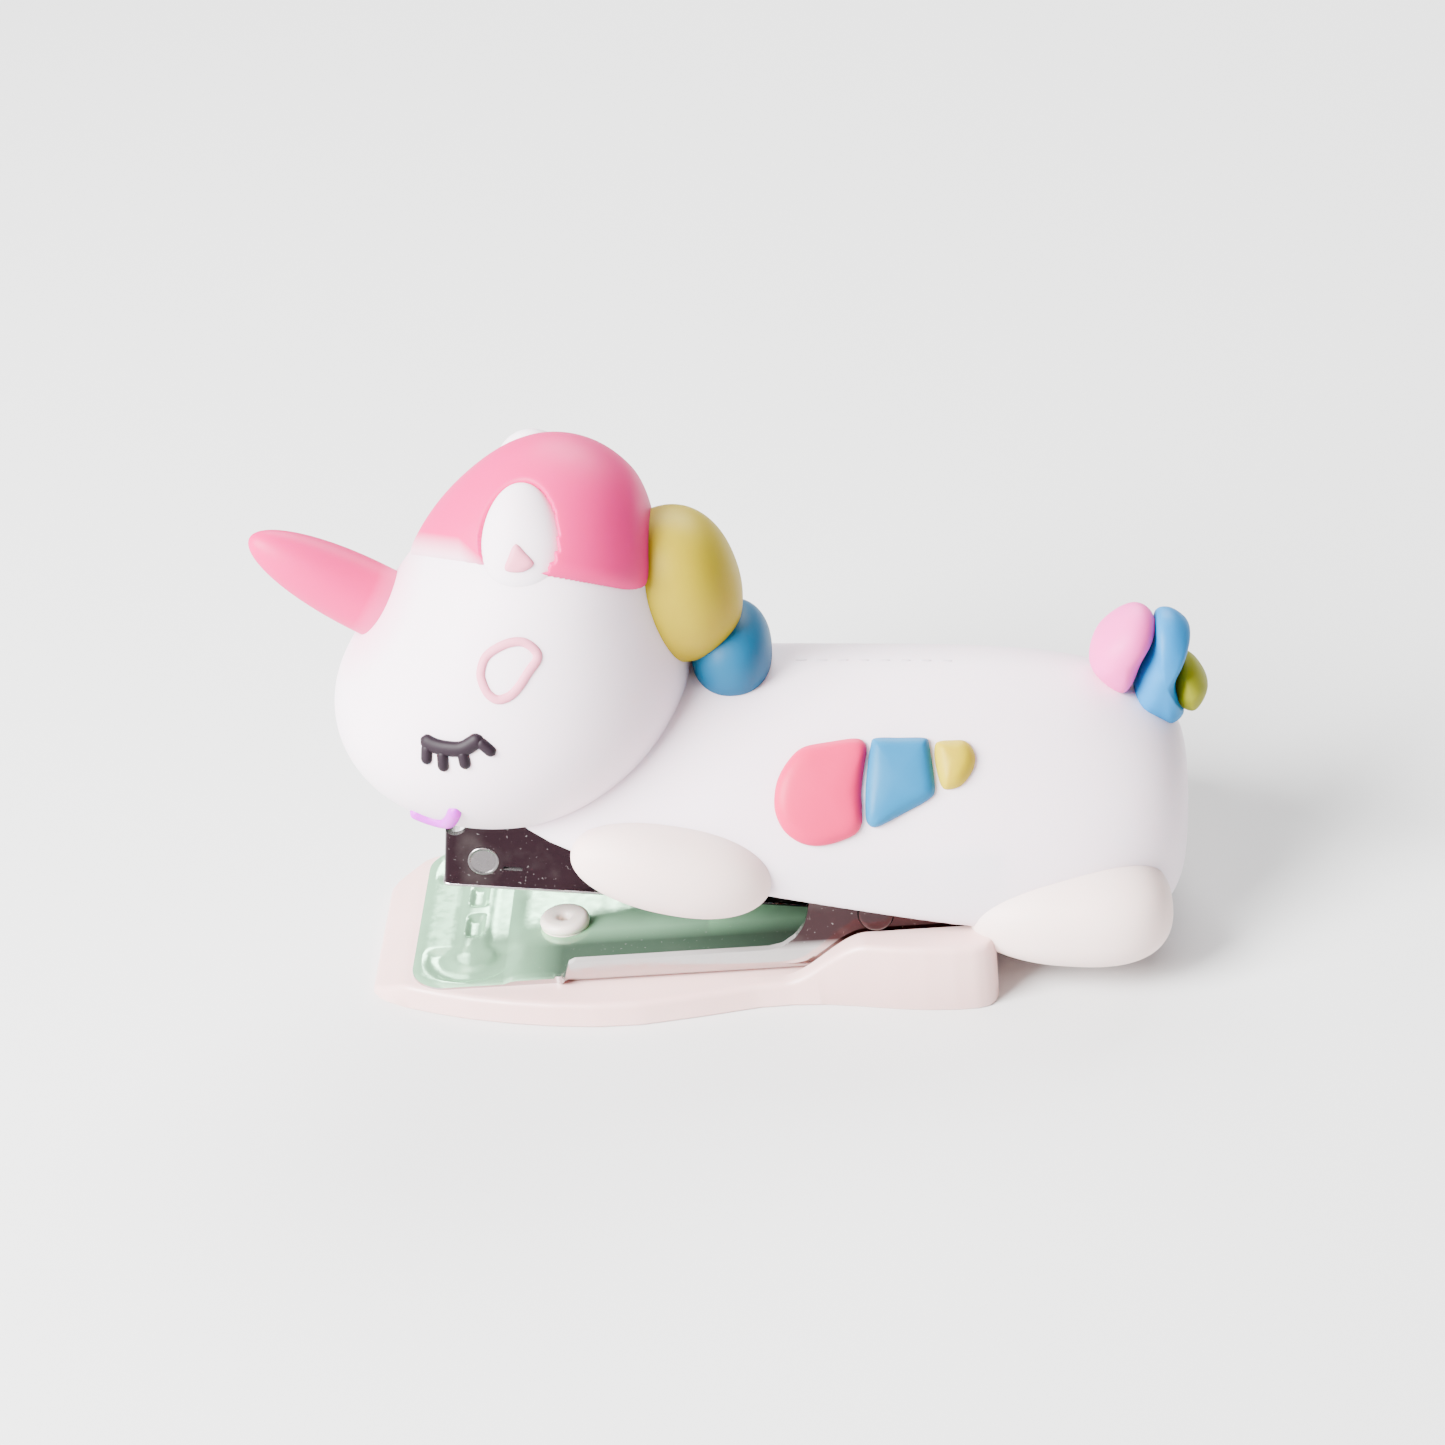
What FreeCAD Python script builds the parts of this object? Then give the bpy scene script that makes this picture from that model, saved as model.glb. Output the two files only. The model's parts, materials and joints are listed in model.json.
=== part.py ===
import FreeCAD, Part
import math
import os

# A mini stapler for 24/6 staples, dressed as a unicorn lying on its belly.
# Millimetres. +X points to the tail, -Y to the near side, +Z up.
# Everything is drawn round the anvil plate and moved by MIDDLE at the end,
# so the origin is the middle of the overall length, on the table.

# ---- driving dimensions ----
BASE_FLOOR = 2.6          # thickness of the plastic foot in front
BASE_BLOCK = 7.2          # height of the raised rear rim
BASE_FRONT = -38.2
BASE_REAR = 26.3
SHEET = 0.8               # base plate steel
PLATE_HALF = 14.1         # half width of the base plate over its flanges
PLATE_FRONT = -33.8
PLATE_REAR = 24.0
EAR_FRONT = 8.0
EAR_TOP = 13.2
FLANGE_TOP = 5.5
ANVIL_X = -27.7           # middle of the two crimping pockets
PIN_X = 14.5              # hinge pin axis
PIN_Z = 9.2
PIN_R = 1.5
HOLE_R = 1.56
MAG_ANGLE = 8.3           # magazine tilt at rest
HANDLE_ANGLE = 17.7       # handle tilt at rest
FULL_STROKE = 18.6        # how far the handle turns down in all, the magazine's own turn included
CROWN = 12.9              # 24/6 staple, outer width
MAG_INNER = CROWN + 0.1
MAG_SHEET = 0.7
MAG_OUTER = MAG_INNER + 2 * MAG_SHEET
MAG_BOTTOM = -4.28        # below the pin axis, magazine level
MAG_TOP = 3.72
NOSE = -44.0              # front of the magazine, measured from the pin
FRAME_SHEET = 0.8
FRAME_INNER = 15.2
FRAME_OUTER = FRAME_INNER + 2 * FRAME_SHEET
FRAME_WEB = 4.2           # underside of the handle frame's web
SHELL_ANGLE = 15.5        # slope of the cover's lower edge
SIDE_VIEW = 30.0          # the pads and marks face up by this angle
BODY_TILT = 4.6
SEAM_TURN = 90.0          # keeps the balls' own seam line on their side
FAR_WING_DROP = 2.8       # the far wing sits this much lower than the near one
EAR_PATCH = (-16.4, -10.9, 50.2)
MIDDLE = 1.84             # X of the middle between horn tip and tail

V = FreeCAD.Vector
ORIGIN = V(0, 0, 0)
AXIS_X = V(1, 0, 0)
AXIS_Y = V(0, 1, 0)
AXIS_Z = V(0, 0, 1)
PIECES = {}


def box(x0, x1, y0, y1, z0, z1):
    return Part.makeBox(x1 - x0, y1 - y0, z1 - z0, V(x0, y0, z0))


def across(radius, y0, y1, x=0.0, z=0.0):
    """Cylinder along Y."""
    return Part.makeCylinder(radius, y1 - y0, V(x, y0, z), AXIS_Y)


def ellipsoid(centre, radii, tilt=0.0, lean=0.0):
    """Tilt turns it about Y (front up), lean turns it about X."""
    ball = Part.makeSphere(1.0)
    ball.rotate(ORIGIN, AXIS_Z, SEAM_TURN)
    scale = FreeCAD.Matrix()
    scale.scale(V(*radii))
    solid = ball.transformGeometry(scale)
    solid.rotate(ORIGIN, AXIS_Y, tilt)
    solid.rotate(ORIGIN, AXIS_X, lean)
    solid.translate(V(*centre))
    return solid


def egg(centre, radius, half_length, tilt):
    """Round in section, long way up before it is tilted about Y."""
    half = Part.Arc(Part.Ellipse(ORIGIN, half_length, radius), 0, math.pi).toShape()
    axis = Part.makeLine(V(-half_length, 0, 0), V(half_length, 0, 0))
    solid = Part.Face(Part.Wire([half, axis])).revolve(ORIGIN, AXIS_X, 360)
    solid.rotate(ORIGIN, AXIS_Y, -90 + tilt)
    solid.translate(V(*centre))
    return solid


def mirrored(shape):
    return shape.mirror(ORIGIN, AXIS_Y)


def both(name, shape):
    """Near side is the unicorn's left seen from its own back: -Y."""
    PIECES[name + "_left"] = shape
    PIECES[name + "_right"] = mirrored(shape)


def about_pin(shape, angle):
    """From a frame centred on the pin and level, to the rest position."""
    moved = shape.copy()
    moved.rotate(ORIGIN, AXIS_Y, angle)
    moved.translate(V(PIN_X, 0, PIN_Z))
    return moved


def prism_y(points, y0, y1):
    """Side view polygon (x, z) pulled out along Y."""
    loop = [V(x, y0, z) for x, z in points]
    return Part.Face(Part.makePolygon(loop + loop[:1])).extrude(V(0, y1 - y0, 0))


def soft_loop(points):
    """Closed smooth outline through the points."""
    curve = Part.BSplineCurve()
    curve.interpolate(points, PeriodicFlag=True)
    return Part.Face(Part.Wire(curve.toShape()))


def facing_loop(points, start=16, length=30):
    """Outline (x, v) laid in the plane that faces the near side and up."""
    turn = math.radians(SIDE_VIEW)
    up = V(0, math.sin(turn), math.cos(turn))
    out = V(0, -math.cos(turn), math.sin(turn))
    return [V(x, 0, 0) + up * v + out * start for x, v in points], out * length


def facing_prism(points):
    loop, pull = facing_loop(points)
    return soft_loop(loop).extrude(pull)


def flat_prism(points):
    loop, pull = facing_loop(points)
    return Part.Face(Part.makePolygon(loop + loop[:1])).extrude(pull)


def only_solid(shape):
    """The largest solid of a boolean result."""
    return max(shape.Solids, key=lambda s: s.Volume)


# ---- the base ----
def foot_outline(grow=0.0):
    """Top view of the foot: narrow square front, belly, waist, square rear."""
    side = [(-34.4, 12.6), (-27.5, 15.4), (-19.0, 17.6), (-10.0, 18.3), (2.0, 16.4),
            (9.0, 16.6), (16.0, 18.2), (22.0, 18.9)]
    near = [V(x, -(y + grow), 0) for x, y in side]
    far = [V(p.x, -p.y, 0) for p in reversed(near)]
    front = BASE_FRONT - grow
    rear = BASE_REAR + grow
    curve_near = Part.BSplineCurve()
    curve_near.interpolate(near)
    curve_far = Part.BSplineCurve()
    curve_far.interpolate(far)
    rear_near = [near[-1], V(25.2, -18.5 - grow, 0), V(rear, -17.0 - grow, 0)]
    rear_far = [V(p.x, -p.y, 0) for p in reversed(rear_near)]
    front_far = [far[-1], V(-37.0, 11.0 + grow, 0), V(front, 9.4 + grow, 0)]
    front_near = [V(p.x, -p.y, 0) for p in reversed(front_far)]
    edges = [curve_near.toShape()]
    for corner in (rear_near, rear_far):
        edges.append(Part.makePolygon(corner))
    edges.insert(2, Part.makeLine(rear_near[-1], rear_far[0]))
    edges.append(curve_far.toShape())
    edges.append(Part.makePolygon(front_far))
    edges.append(Part.makeLine(front_far[-1], front_near[0]))
    edges.append(Part.makePolygon(front_near))
    flat = []
    for edge in edges:
        flat.extend(edge.Edges)
    return Part.Face(Part.Wire(Part.__sortEdges__(flat)))


def foot_profile():
    """Side view: sloped nose, thin floor, a soft step up to the rear rim."""
    return [(BASE_FRONT, 0), (BASE_FRONT, 0.5), (-37.6, 1.2), (-34.2, BASE_FLOOR), (4.5, BASE_FLOOR),
            (7.0, 3.0), (8.8, 4.4), (10.2, 6.0), (11.8, 7.0), (13.6, BASE_BLOCK),
            (BASE_REAR, BASE_BLOCK), (BASE_REAR, 0)]


def make_base():
    foot = foot_outline().extrude(V(0, 0, BASE_BLOCK))
    foot = foot.common(prism_y(foot_profile(), -25, 25))
    inner = PLATE_HALF + 0.35
    foot = foot.cut(box(0.0, PLATE_REAR + 0.5, -inner, inner, BASE_FLOOR, 20))
    recess = box(-31, 22.5, -11.5, 11.5, 0, 1.2)
    foot = foot.cut(recess)
    return foot


def flange(side):
    """Upturned side of the base plate, rising at the rear into the pin ear."""
    points = [(-18.4, BASE_FLOOR + 0.1), (-17.0, FLANGE_TOP), (4.4, FLANGE_TOP), (6.4, 6.4), (7.6, 8.2),
              (EAR_FRONT, 10.3), (EAR_FRONT, EAR_TOP - 2), (EAR_FRONT + 2, EAR_TOP),
              (PLATE_REAR - 2, EAR_TOP), (PLATE_REAR, EAR_TOP - 2), (PLATE_REAR, BASE_FLOOR + 0.1)]
    y0 = -PLATE_HALF if side < 0 else PLATE_HALF - SHEET
    return prism_y(points, y0, y0 + SHEET)


def anvil_cuts():
    """Two staple pockets, and the stamped crescents round the central land."""
    top = BASE_FLOOR + SHEET
    cuts = []
    for side in (-1, 1):
        inner = 3.6 * side
        outer = 7.1 * side
        y0 = min(inner, outer)
        y1 = max(inner, outer)
        pocket = across(1.6, y0, y1, ANVIL_X, top + 1.25)
        cuts.append(pocket)
        ring = Part.makeTorus(4.6, 0.9, V(ANVIL_X, 7.4 * side, top + 0.6), AXIS_Z)
        half = box(-40, -15, 8.6, 20, 0, 9) if side > 0 else box(-40, -15, -20, -8.6, 0, 9)
        cuts.append(ring.common(half))
    return cuts


def make_anvil_plate():
    top = BASE_FLOOR + SHEET
    flat = box(PLATE_FRONT, PLATE_REAR, -PLATE_HALF, PLATE_HALF, BASE_FLOOR, top)
    corners = [e for e in flat.Edges if abs(e.Vertexes[0].X - PLATE_FRONT) < 0.01
               and abs(e.Vertexes[1].X - PLATE_FRONT) < 0.01 and abs(e.Vertexes[0].Z - e.Vertexes[1].Z) > 0.1]
    plate = flat.makeFillet(4.0, corners)
    plate = plate.fuse([flange(-1), flange(1)])
    plate = plate.cut(across(HOLE_R, -20, 20, PIN_X, PIN_Z))
    for cut in anvil_cuts():
        plate = plate.cut(cut)
    plate = plate.cut(Part.makeCylinder(1.25, 5, V(-18.2, -3.7, 0)))
    return only_solid(plate.removeSplitter())


def make_stud():
    """Plastic rivet through the plate, low domed head with a small hole."""
    top = BASE_FLOOR + SHEET
    spot = V(-18.2, -3.7, 0)
    stem = Part.makeCylinder(1.2, top - 1.4, V(spot.x, spot.y, 1.4))
    head = Part.makeCylinder(2.6, 1.3, V(spot.x, spot.y, top))
    rim = [e for e in head.Edges if abs(e.BoundBox.ZMin - top - 1.3) < 0.01 and e.BoundBox.ZLength < 0.01]
    head = head.makeFillet(0.7, rim)
    return stem.fuse(head).cut(Part.makeCylinder(0.65, 1.6, V(spot.x, spot.y, top - 0.1)))


def make_pin():
    half = PLATE_HALF + 0.05
    pin = across(PIN_R, -half, half)
    for side in (-1, 1):
        y0 = half if side > 0 else -half - 0.9
        head = across(1.9, y0, y0 + 0.9)
        outer = y0 + 0.9 if side > 0 else y0
        rim = [e for e in head.Edges if e.BoundBox.YLength < 0.01 and abs(e.BoundBox.YMin - outer) < 0.01]
        pin = pin.fuse(head.makeFillet(0.7, rim))
    return about_pin(pin.removeSplitter(), 0)


def make_spacer():
    """Sleeve that fills the gap between the handle frame and a base ear."""
    y0 = -(PLATE_HALF - SHEET) + 0.03
    y1 = -FRAME_OUTER / 2 - 0.03
    return about_pin(across(2.7, y0, y1).cut(across(HOLE_R, y0 - 1, y1 + 1)), 0)


def make_lift_spring():
    """Leaf from the base plate up to the underside of the magazine."""
    top = BASE_FLOOR + SHEET
    points = [(12.4, top), (12.4, top + 0.4), (5.0, top + 0.4), (-1.5, 6.9), (-3.5, 7.05),
              (-3.5, 6.65), (-1.5, 6.5), (4.8, top)]
    return prism_y(points, -2.4, 2.4)


# ---- the magazine, built level around the pin ----
def make_magazine():
    half = MAG_OUTER / 2
    inner = MAG_INNER / 2
    rear = 6.0
    floor = MAG_BOTTOM + MAG_SHEET
    body = box(NOSE, rear, -half, half, MAG_BOTTOM, MAG_TOP)
    body = body.cut(box(NOSE + MAG_SHEET, rear + 1, -inner, inner, floor, MAG_TOP + 1))
    body = body.cut(box(1.0, rear + 1, -half - 1, half + 1, 2.9, MAG_TOP + 1))
    roof = box(-12, -2, -half, half, MAG_TOP - MAG_SHEET, MAG_TOP)
    stop = box(-3.0, -2.2, -inner, inner, floor, MAG_TOP)
    body = body.fuse([roof, stop])
    exit_slot = box(NOSE + MAG_SHEET, NOSE + 1.45, -inner, inner, MAG_BOTTOM - 1, floor + 1)
    body = body.cut(exit_slot)
    notch = Part.makeCylinder(1.3, 3, V(NOSE + 0.9, -half - 1, MAG_TOP - 0.6), AXIS_Y)
    body = body.cut(notch)
    body = body.cut(mirrored(notch))
    body = body.cut(across(HOLE_R, -20, 20))
    slit = box(-38.0, -36.0, -half - 1, -inner + 0.1, -2.0, -1.6)
    body = body.cut([slit, mirrored(slit)])
    rod_hole = Part.makeCylinder(0.85, 3, V(-4, 0, 0.2), AXIS_X)
    body = body.cut(rod_hole)
    for side in (-1, 1):
        seat = Part.makeCylinder(3.1, 2.5, V(-32.7, 3.7 * side, MAG_BOTTOM - 1))
        body = body.cut(seat)
    vertical = [e for e in body.Edges if abs(e.BoundBox.XMin - NOSE) < 0.01 and e.BoundBox.XLength < 0.01
                and e.BoundBox.YLength < 0.01 and e.BoundBox.ZLength > 4]
    body = body.makeFillet(0.6, vertical)
    dimple = Part.makeSphere(3.0, V(-40.0, -half - 2.65, -1.1))
    body = body.cut([dimple, mirrored(dimple)])
    return about_pin(only_solid(body), MAG_ANGLE)


def make_pusher():
    """Sheet saddle that rides in the magazine and pushes the strip forward."""
    floor = MAG_BOTTOM + MAG_SHEET
    outer = MAG_INNER / 2 - 0.1
    saddle = box(-42.1, -34.0, -outer, outer, floor + 0.05, 2.2)
    saddle = saddle.cut(box(-43, -33, -outer + 0.5, outer - 0.5, floor - 1, 1.7))
    front = box(-42.1, -41.5, -outer, outer, floor + 0.05, 2.2)
    rear = box(-34.6, -34.0, -3.5, 3.5, -2.6, 2.2)
    pusher = saddle.fuse([front, rear])
    pusher = pusher.cut(Part.makeCylinder(0.9, 20, V(-50, 0, 0.2), AXIS_X))
    return about_pin(only_solid(pusher.cut(stud_room())), MAG_ANGLE)


def stud_room():
    """The pusher's skirts stay clear of the plastic rivet heads."""
    return box(-60, 0, -6.0, 6.0, -6, MAG_BOTTOM + MAG_SHEET + 0.2)


def make_rod():
    rod = Part.makeCylinder(0.8, 38.3, V(-40.6, 0, 0.2), AXIS_X)
    return about_pin(rod, MAG_ANGLE)


def make_coil(radius, wire, start, end, turns):
    pitch = (end - start) / turns
    helix = Part.makeHelix(pitch, end - start, radius)
    ring = Part.Wire(Part.makeCircle(wire / 2, V(radius, 0, 0), AXIS_Y))
    coil = Part.Wire(helix.Edges).makePipeShell([ring], True, True)
    coil.rotate(ORIGIN, AXIS_Y, 90)
    coil.translate(V(start, 0, 0.2))
    return coil


def make_pusher_spring():
    return about_pin(make_coil(1.6, 0.5, -33.6, -3.4, 14), MAG_ANGLE)


# ---- the handle, built level around the pin ----
def make_frame():
    """Steel channel that grips the cover and straddles the magazine."""
    half = FRAME_OUTER / 2
    inner = FRAME_INNER / 2
    front = NOSE - 0.6
    frame = box(front, 6.5, -half, half, -3.2, FRAME_WEB + FRAME_SHEET)
    frame = frame.cut(box(front - 1, 8, -inner, inner, -6, FRAME_WEB))
    frame = frame.cut(box(front - 1, -39.5, -20, 20, -6, 1.6))
    frame = frame.cut(across(HOLE_R, -20, 20))
    return about_pin(frame.removeSplitter(), HANDLE_ANGLE)


def make_blade():
    """Driver: a tab under the frame's web, bent down into the magazine."""
    width = 6.25
    tab = box(-43.05, -37.0, -width, width, 3.8, FRAME_WEB)
    plate = box(-43.05, -42.65, -width, width, -4.5, FRAME_WEB)
    return about_pin(tab.fuse(plate).removeSplitter(), HANDLE_ANGLE)


def make_handle_spring():
    """Leaf between the magazine roof and the frame's web, in the handle's frame."""
    points = [(1.6, FRAME_WEB), (1.6, FRAME_WEB - 0.3), (-4.0, FRAME_WEB - 0.35), (-9.8, 2.55),
              (-11.0, 2.45), (-11.0, 2.75), (-9.8, 2.85), (-4.2, FRAME_WEB)]
    return about_pin(prism_y(points, -2.5, 2.5), HANDLE_ANGLE)


# ---- the soft cover ----
def rounded_body(grow=0.0):
    """A loaf: half-round back, tighter rounding at its ends."""
    length = 70.4 + 2 * grow
    width = 32.6 + 2 * grow
    height = 29.4 + 2 * grow
    block = box(-length / 2, length / 2, -width / 2, width / 2, -height / 2, height / 2)
    long_edges = [e for e in block.Edges if e.BoundBox.XLength > 10]
    block = block.makeFillet(14.2 + grow * 0.9, long_edges)
    ends = [e for e in block.Edges if e.BoundBox.XLength < 0.01]
    block = block.makeFillet(10.5 + grow * 0.9, ends)
    block.rotate(ORIGIN, AXIS_Y, BODY_TILT)
    block.translate(V(11.5, 0, 15.9))
    return block


def below_edge():
    """Everything under the cover's sloping lower edge."""
    slab = box(-80, 80, -40, 40, -60, 0)
    slab.rotate(ORIGIN, AXIS_Y, SHELL_ANGLE)
    slab.translate(V(3.9, 0, 12.9))
    return slab


def mechanism_room():
    """Space inside the cover for frame, magazine, ears and the base's rear end."""
    half = FRAME_OUTER / 2 + 0.05
    tunnel = about_pin(box(NOSE - 1.3, 8.6, -half, half, -14, FRAME_WEB + FRAME_SHEET + 0.02), HANDLE_ANGLE)
    well = box(6.0, 27.2, -15.45, 15.45, -5, 15.9)
    block = box(20.0, 27.2, -19.6, 19.6, -5, BASE_BLOCK + 0.35)
    return [tunnel, well, block]


def head_form(grow=0.0):
    """Three overlapping eggs: top of the head, brow, and the wide cheeks."""
    skull = ellipsoid((-15.9, 0, 42.1), (11.3 + grow, 12.6 + grow, 14.1 + grow), 15)
    brow = ellipsoid((-18.4, 0, 36.3), (14.8 + grow, 15.6 + grow, 13.9 + grow), 10)
    cheeks = ellipsoid((-21.0, 0, 30.2), (18.2 + grow, 18.3 + grow, 13.1 + grow), -4)
    return skull.fuse([brow, cheeks])


def make_horn():
    """Blunt cone on the forehead, turned about its own axis."""
    base = V(-33.2, 0, 40.7)
    tip = V(-45.2, 0, 49.0)
    length = (tip - base).Length
    curve = Part.BSplineCurve()
    curve.interpolate([V(3.55, 0, -4.5), V(3.5, 0, 2), V(3.2, 0, length * 0.5), V(2.5, 0, length * 0.8),
                       V(1.9, 0, length - 1.2), V(1.1, 0, length - 0.25), V(0, 0, length)])
    wire = Part.Wire([Part.makeLine(V(0, 0, -4.5), V(3.55, 0, -4.5)), curve.toShape(),
                      Part.makeLine(V(0, 0, length), V(0, 0, -4.5))])
    horn = Part.Face(wire).revolve(ORIGIN, AXIS_Z, 360)
    horn.Placement = FreeCAD.Placement(base, FreeCAD.Rotation(AXIS_Z, tip - base))
    return horn


def ear_form(grow=0.0):
    return ellipsoid((-16.8, -8.2, 50.2), (4.2 + grow, 2.6 + grow, 5.6 + grow), 0, -31)


def below_cap():
    """Everything under the mane cap's sloping rim, on the near side."""
    loop, pull = facing_loop([(-50, 44.8), (20, 28.0), (20, -20), (-50, -20)], -10, 60)
    wedge = Part.Face(Part.makePolygon(loop + loop[:1])).extrude(pull)
    return wedge.common(box(-60, 40, -60, 0, -60, 100))


def make_cap(head_solid):
    """Skin over the back of the head, open round both ears."""
    ball = ellipsoid((-15.9, 0, 42.2), (12.2, 13.5, 15.2), 15)
    cap = ball.cut(head_solid).cut(box(-4.9, 30, -30, 30, 0, 90))
    wedge = below_cap()
    ear_gap = ear_form(0.25)
    patch_gap = ellipsoid(EAR_PATCH, (1.5, 0.9, 1.7), 0, -31)
    for gap in (wedge, ear_gap, patch_gap):
        cap = cap.cut([gap, mirrored(gap)])
    return cap


def make_cover():
    head_solid = head_form()
    body_solid = rounded_body().cut(below_edge())
    room = mechanism_room()
    head = head_solid.cut(room)
    PIECES["head"] = only_solid(head)
    PIECES["body_shell"] = only_solid(body_solid.cut(head_solid).cut(room))

    horn = make_horn().cut(head_solid)
    PIECES["horn"] = only_solid(horn)

    ear = ear_form()
    both("ear", only_solid(ear.cut(head_solid)))
    inner = ellipsoid(EAR_PATCH, (1.3, 0.7, 1.5), 0, -31)
    both("ear_inner", only_solid(inner.cut(ear).cut(head_solid)))

    yellow = egg((-3.0, 0, 40.6), 6.4, 7.9, -14)
    PIECES["mane_yellow"] = yellow
    PIECES["mane_pink"] = only_solid(make_cap(head_solid).cut(yellow))
    PIECES["head"] = only_solid(PIECES["head"].cut(yellow))
    blue = ellipsoid((1.7, 0, 32.7), (4.1, 6.0, 4.7))
    blue = blue.cut(head_solid).cut(body_solid).cut(PIECES["mane_yellow"])
    PIECES["mane_blue"] = only_solid(blue)
    return head_solid, body_solid, room


def shrunk(points, share):
    mid_x = sum(x for x, v in points) / len(points)
    mid_v = sum(v for x, v in points) / len(points)
    return [(mid_x + (x - mid_x) * share, mid_v + (v - mid_v) * share) for x, v in points]


def make_lashes(skin):
    """A closed eye: a shallow bowl-shaped bar with four short lashes."""
    prism = flat_prism([(-28.2, 21.9), (-26.9, 21.1), (-25.5, 20.6), (-24.1, 20.6), (-22.9, 21.1), (-22.0, 21.7),
                        (-21.7, 20.8), (-22.8, 20.0), (-24.1, 19.6), (-25.5, 19.6), (-27.0, 20.1), (-28.3, 20.9)])
    roots_and_tips = ((-27.6, 20.8, -28.0, 19.5), (-26.1, 20.1, -26.2, 18.5), (-24.1, 20.1, -24.0, 18.5),
                      (-22.3, 20.9, -21.0, 19.5))
    for x0, v0, x1, v1 in roots_and_tips:
        prism = prism.fuse(flat_prism([(x0 - 0.5, v0), (x0 + 0.5, v0), (x1 + 0.35, v1), (x1 - 0.35, v1)]))
    return only_solid(skin.common(prism))


def make_face(head_solid):
    skin = head_form(0.55).cut(head_solid)
    cheek = [(-22.0, 27.4), (-21.3, 29.2), (-19.1, 30.3), (-17.1, 30.4), (-15.8, 29.4), (-15.6, 28.2),
             (-16.8, 26.8), (-17.7, 25.4), (-18.8, 24.5), (-20.2, 24.1), (-21.4, 24.8), (-21.9, 26.2)]
    ring = facing_prism(cheek).cut(facing_prism(shrunk(cheek, 0.7)))
    both("cheek_mark", only_solid(skin.common(ring)))
    both("eyelash", make_lashes(skin))
    smile = Part.makeTorus(2.0, 0.45, ORIGIN, AXIS_Z, -180, 180, 180)
    smile.rotate(ORIGIN, AXIS_Z, 180)
    normal = V(-0.34, -0.69, -0.64)
    smile.Placement = FreeCAD.Placement(V(-28.0, -14.6, 23.6), FreeCAD.Rotation(AXIS_Z, normal))
    both("mouth", only_solid(smile.cut(head_solid)))


def lowered(points, drop):
    return [(x, v - drop) for x, v in points]


def make_wing(body_solid):
    """Three pads on each flank; those on the far flank sit a little lower."""
    skin = rounded_body(1.1).cut(rounded_body())
    pink = [(5.5, 13.1), (6.0, 15.0), (7.2, 16.8), (8.7, 17.9), (11.3, 18.25), (13.6, 18.3), (14.4, 17.6),
            (14.2, 15.3), (13.9, 13.2), (13.8, 11.5), (13.4, 9.6), (10.0, 8.4), (7.9, 8.8), (6.4, 9.9)]
    blue = [(15.7, 18.2), (18.0, 18.15), (20.4, 18.0), (20.9, 17.0), (21.0, 15.2), (21.0, 13.2), (20.0, 11.9),
            (17.6, 10.7), (15.5, 9.9), (14.6, 10.5), (14.7, 14.2), (15.1, 17.2)]
    yellow = [(22.0, 17.3), (23.2, 17.55), (24.5, 17.3), (25.2, 16.2), (25.0, 14.8), (23.9, 13.4), (22.6, 13.1),
              (21.9, 14.0), (21.7, 15.6)]
    for name, outline in (("pink", pink), ("blue", blue), ("yellow", yellow)):
        PIECES["wing_" + name + "_left"] = only_solid(skin.common(facing_prism(outline)))
        far = only_solid(skin.common(facing_prism(lowered(outline, FAR_WING_DROP))))
        PIECES["wing_" + name + "_right"] = mirrored(far)


def make_legs(body_solid, room):
    """The front legs stay clear of the base plate's flanges at the end of the stroke."""
    flange_room = about_pin(box(-36, 0, -14.6, 14.6, -20, FLANGE_TOP + 0.25 - PIN_Z), FULL_STROKE)
    front = ellipsoid((-5.3, -15.0, 16.7), (10.3, 4.9, 4.7), 14)
    both("front_leg", only_solid(front.cut(body_solid).cut(room).cut(flange_room)))
    hind = ellipsoid((34.2, -13.8, 7.7), (10.4, 6.4, 5.6), -3)
    both("hind_leg", only_solid(hind.cut(body_solid).cut(room)))


def make_tail(body_solid):
    pink = ellipsoid((40.8, 0, 29.8), (3.0, 4.4, 4.9), 25)
    blue = ellipsoid((44.7, 0, 27.5), (2.6, 4.6, 6.2), 14)
    yellow = ellipsoid((47.4, 0, 25.7), (1.9, 3.4, 3.1))
    PIECES["tail_pink"] = only_solid(pink.cut(body_solid))
    PIECES["tail_blue"] = only_solid(blue.cut(body_solid).cut(pink))
    PIECES["tail_yellow"] = only_solid(yellow.cut(body_solid).cut(blue))


def make_mechanism():
    PIECES["base_foot"] = make_base()
    PIECES["anvil_plate"] = make_anvil_plate()
    PIECES["plate_stud"] = make_stud()
    PIECES["hinge_pin"] = make_pin()
    both("hinge_sleeve", make_spacer())
    PIECES["lift_spring"] = make_lift_spring()
    PIECES["magazine"] = make_magazine()
    PIECES["staple_pusher"] = make_pusher()
    PIECES["pusher_rod"] = make_rod()
    PIECES["pusher_spring"] = make_pusher_spring()
    PIECES["handle_frame"] = make_frame()
    PIECES["driver_blade"] = make_blade()
    PIECES["handle_spring"] = make_handle_spring()


def stud_holes():
    """The foot takes the stem of the plastic rivet."""
    stem = Part.makeCylinder(1.2, 5, V(-18.2, -3.7, 1.4))
    PIECES["base_foot"] = PIECES["base_foot"].cut(stem)


def main():
    make_mechanism()
    stud_holes()
    head_solid, body_solid, room = make_cover()
    make_face(head_solid)
    make_wing(body_solid)
    make_legs(body_solid, room)
    make_tail(body_solid)
    os.makedirs("parts", exist_ok=True)
    for name, shape in PIECES.items():
        shape.translate(V(-MIDDLE, 0, 0))
        shape.exportStep("parts/" + name + ".step")
        print(name, len(shape.Solids), shape.isValid(), round(shape.Volume, 1))


main()
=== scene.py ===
import json
import math

import bpy
import numpy as np
from mathutils import Matrix, Vector


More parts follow.
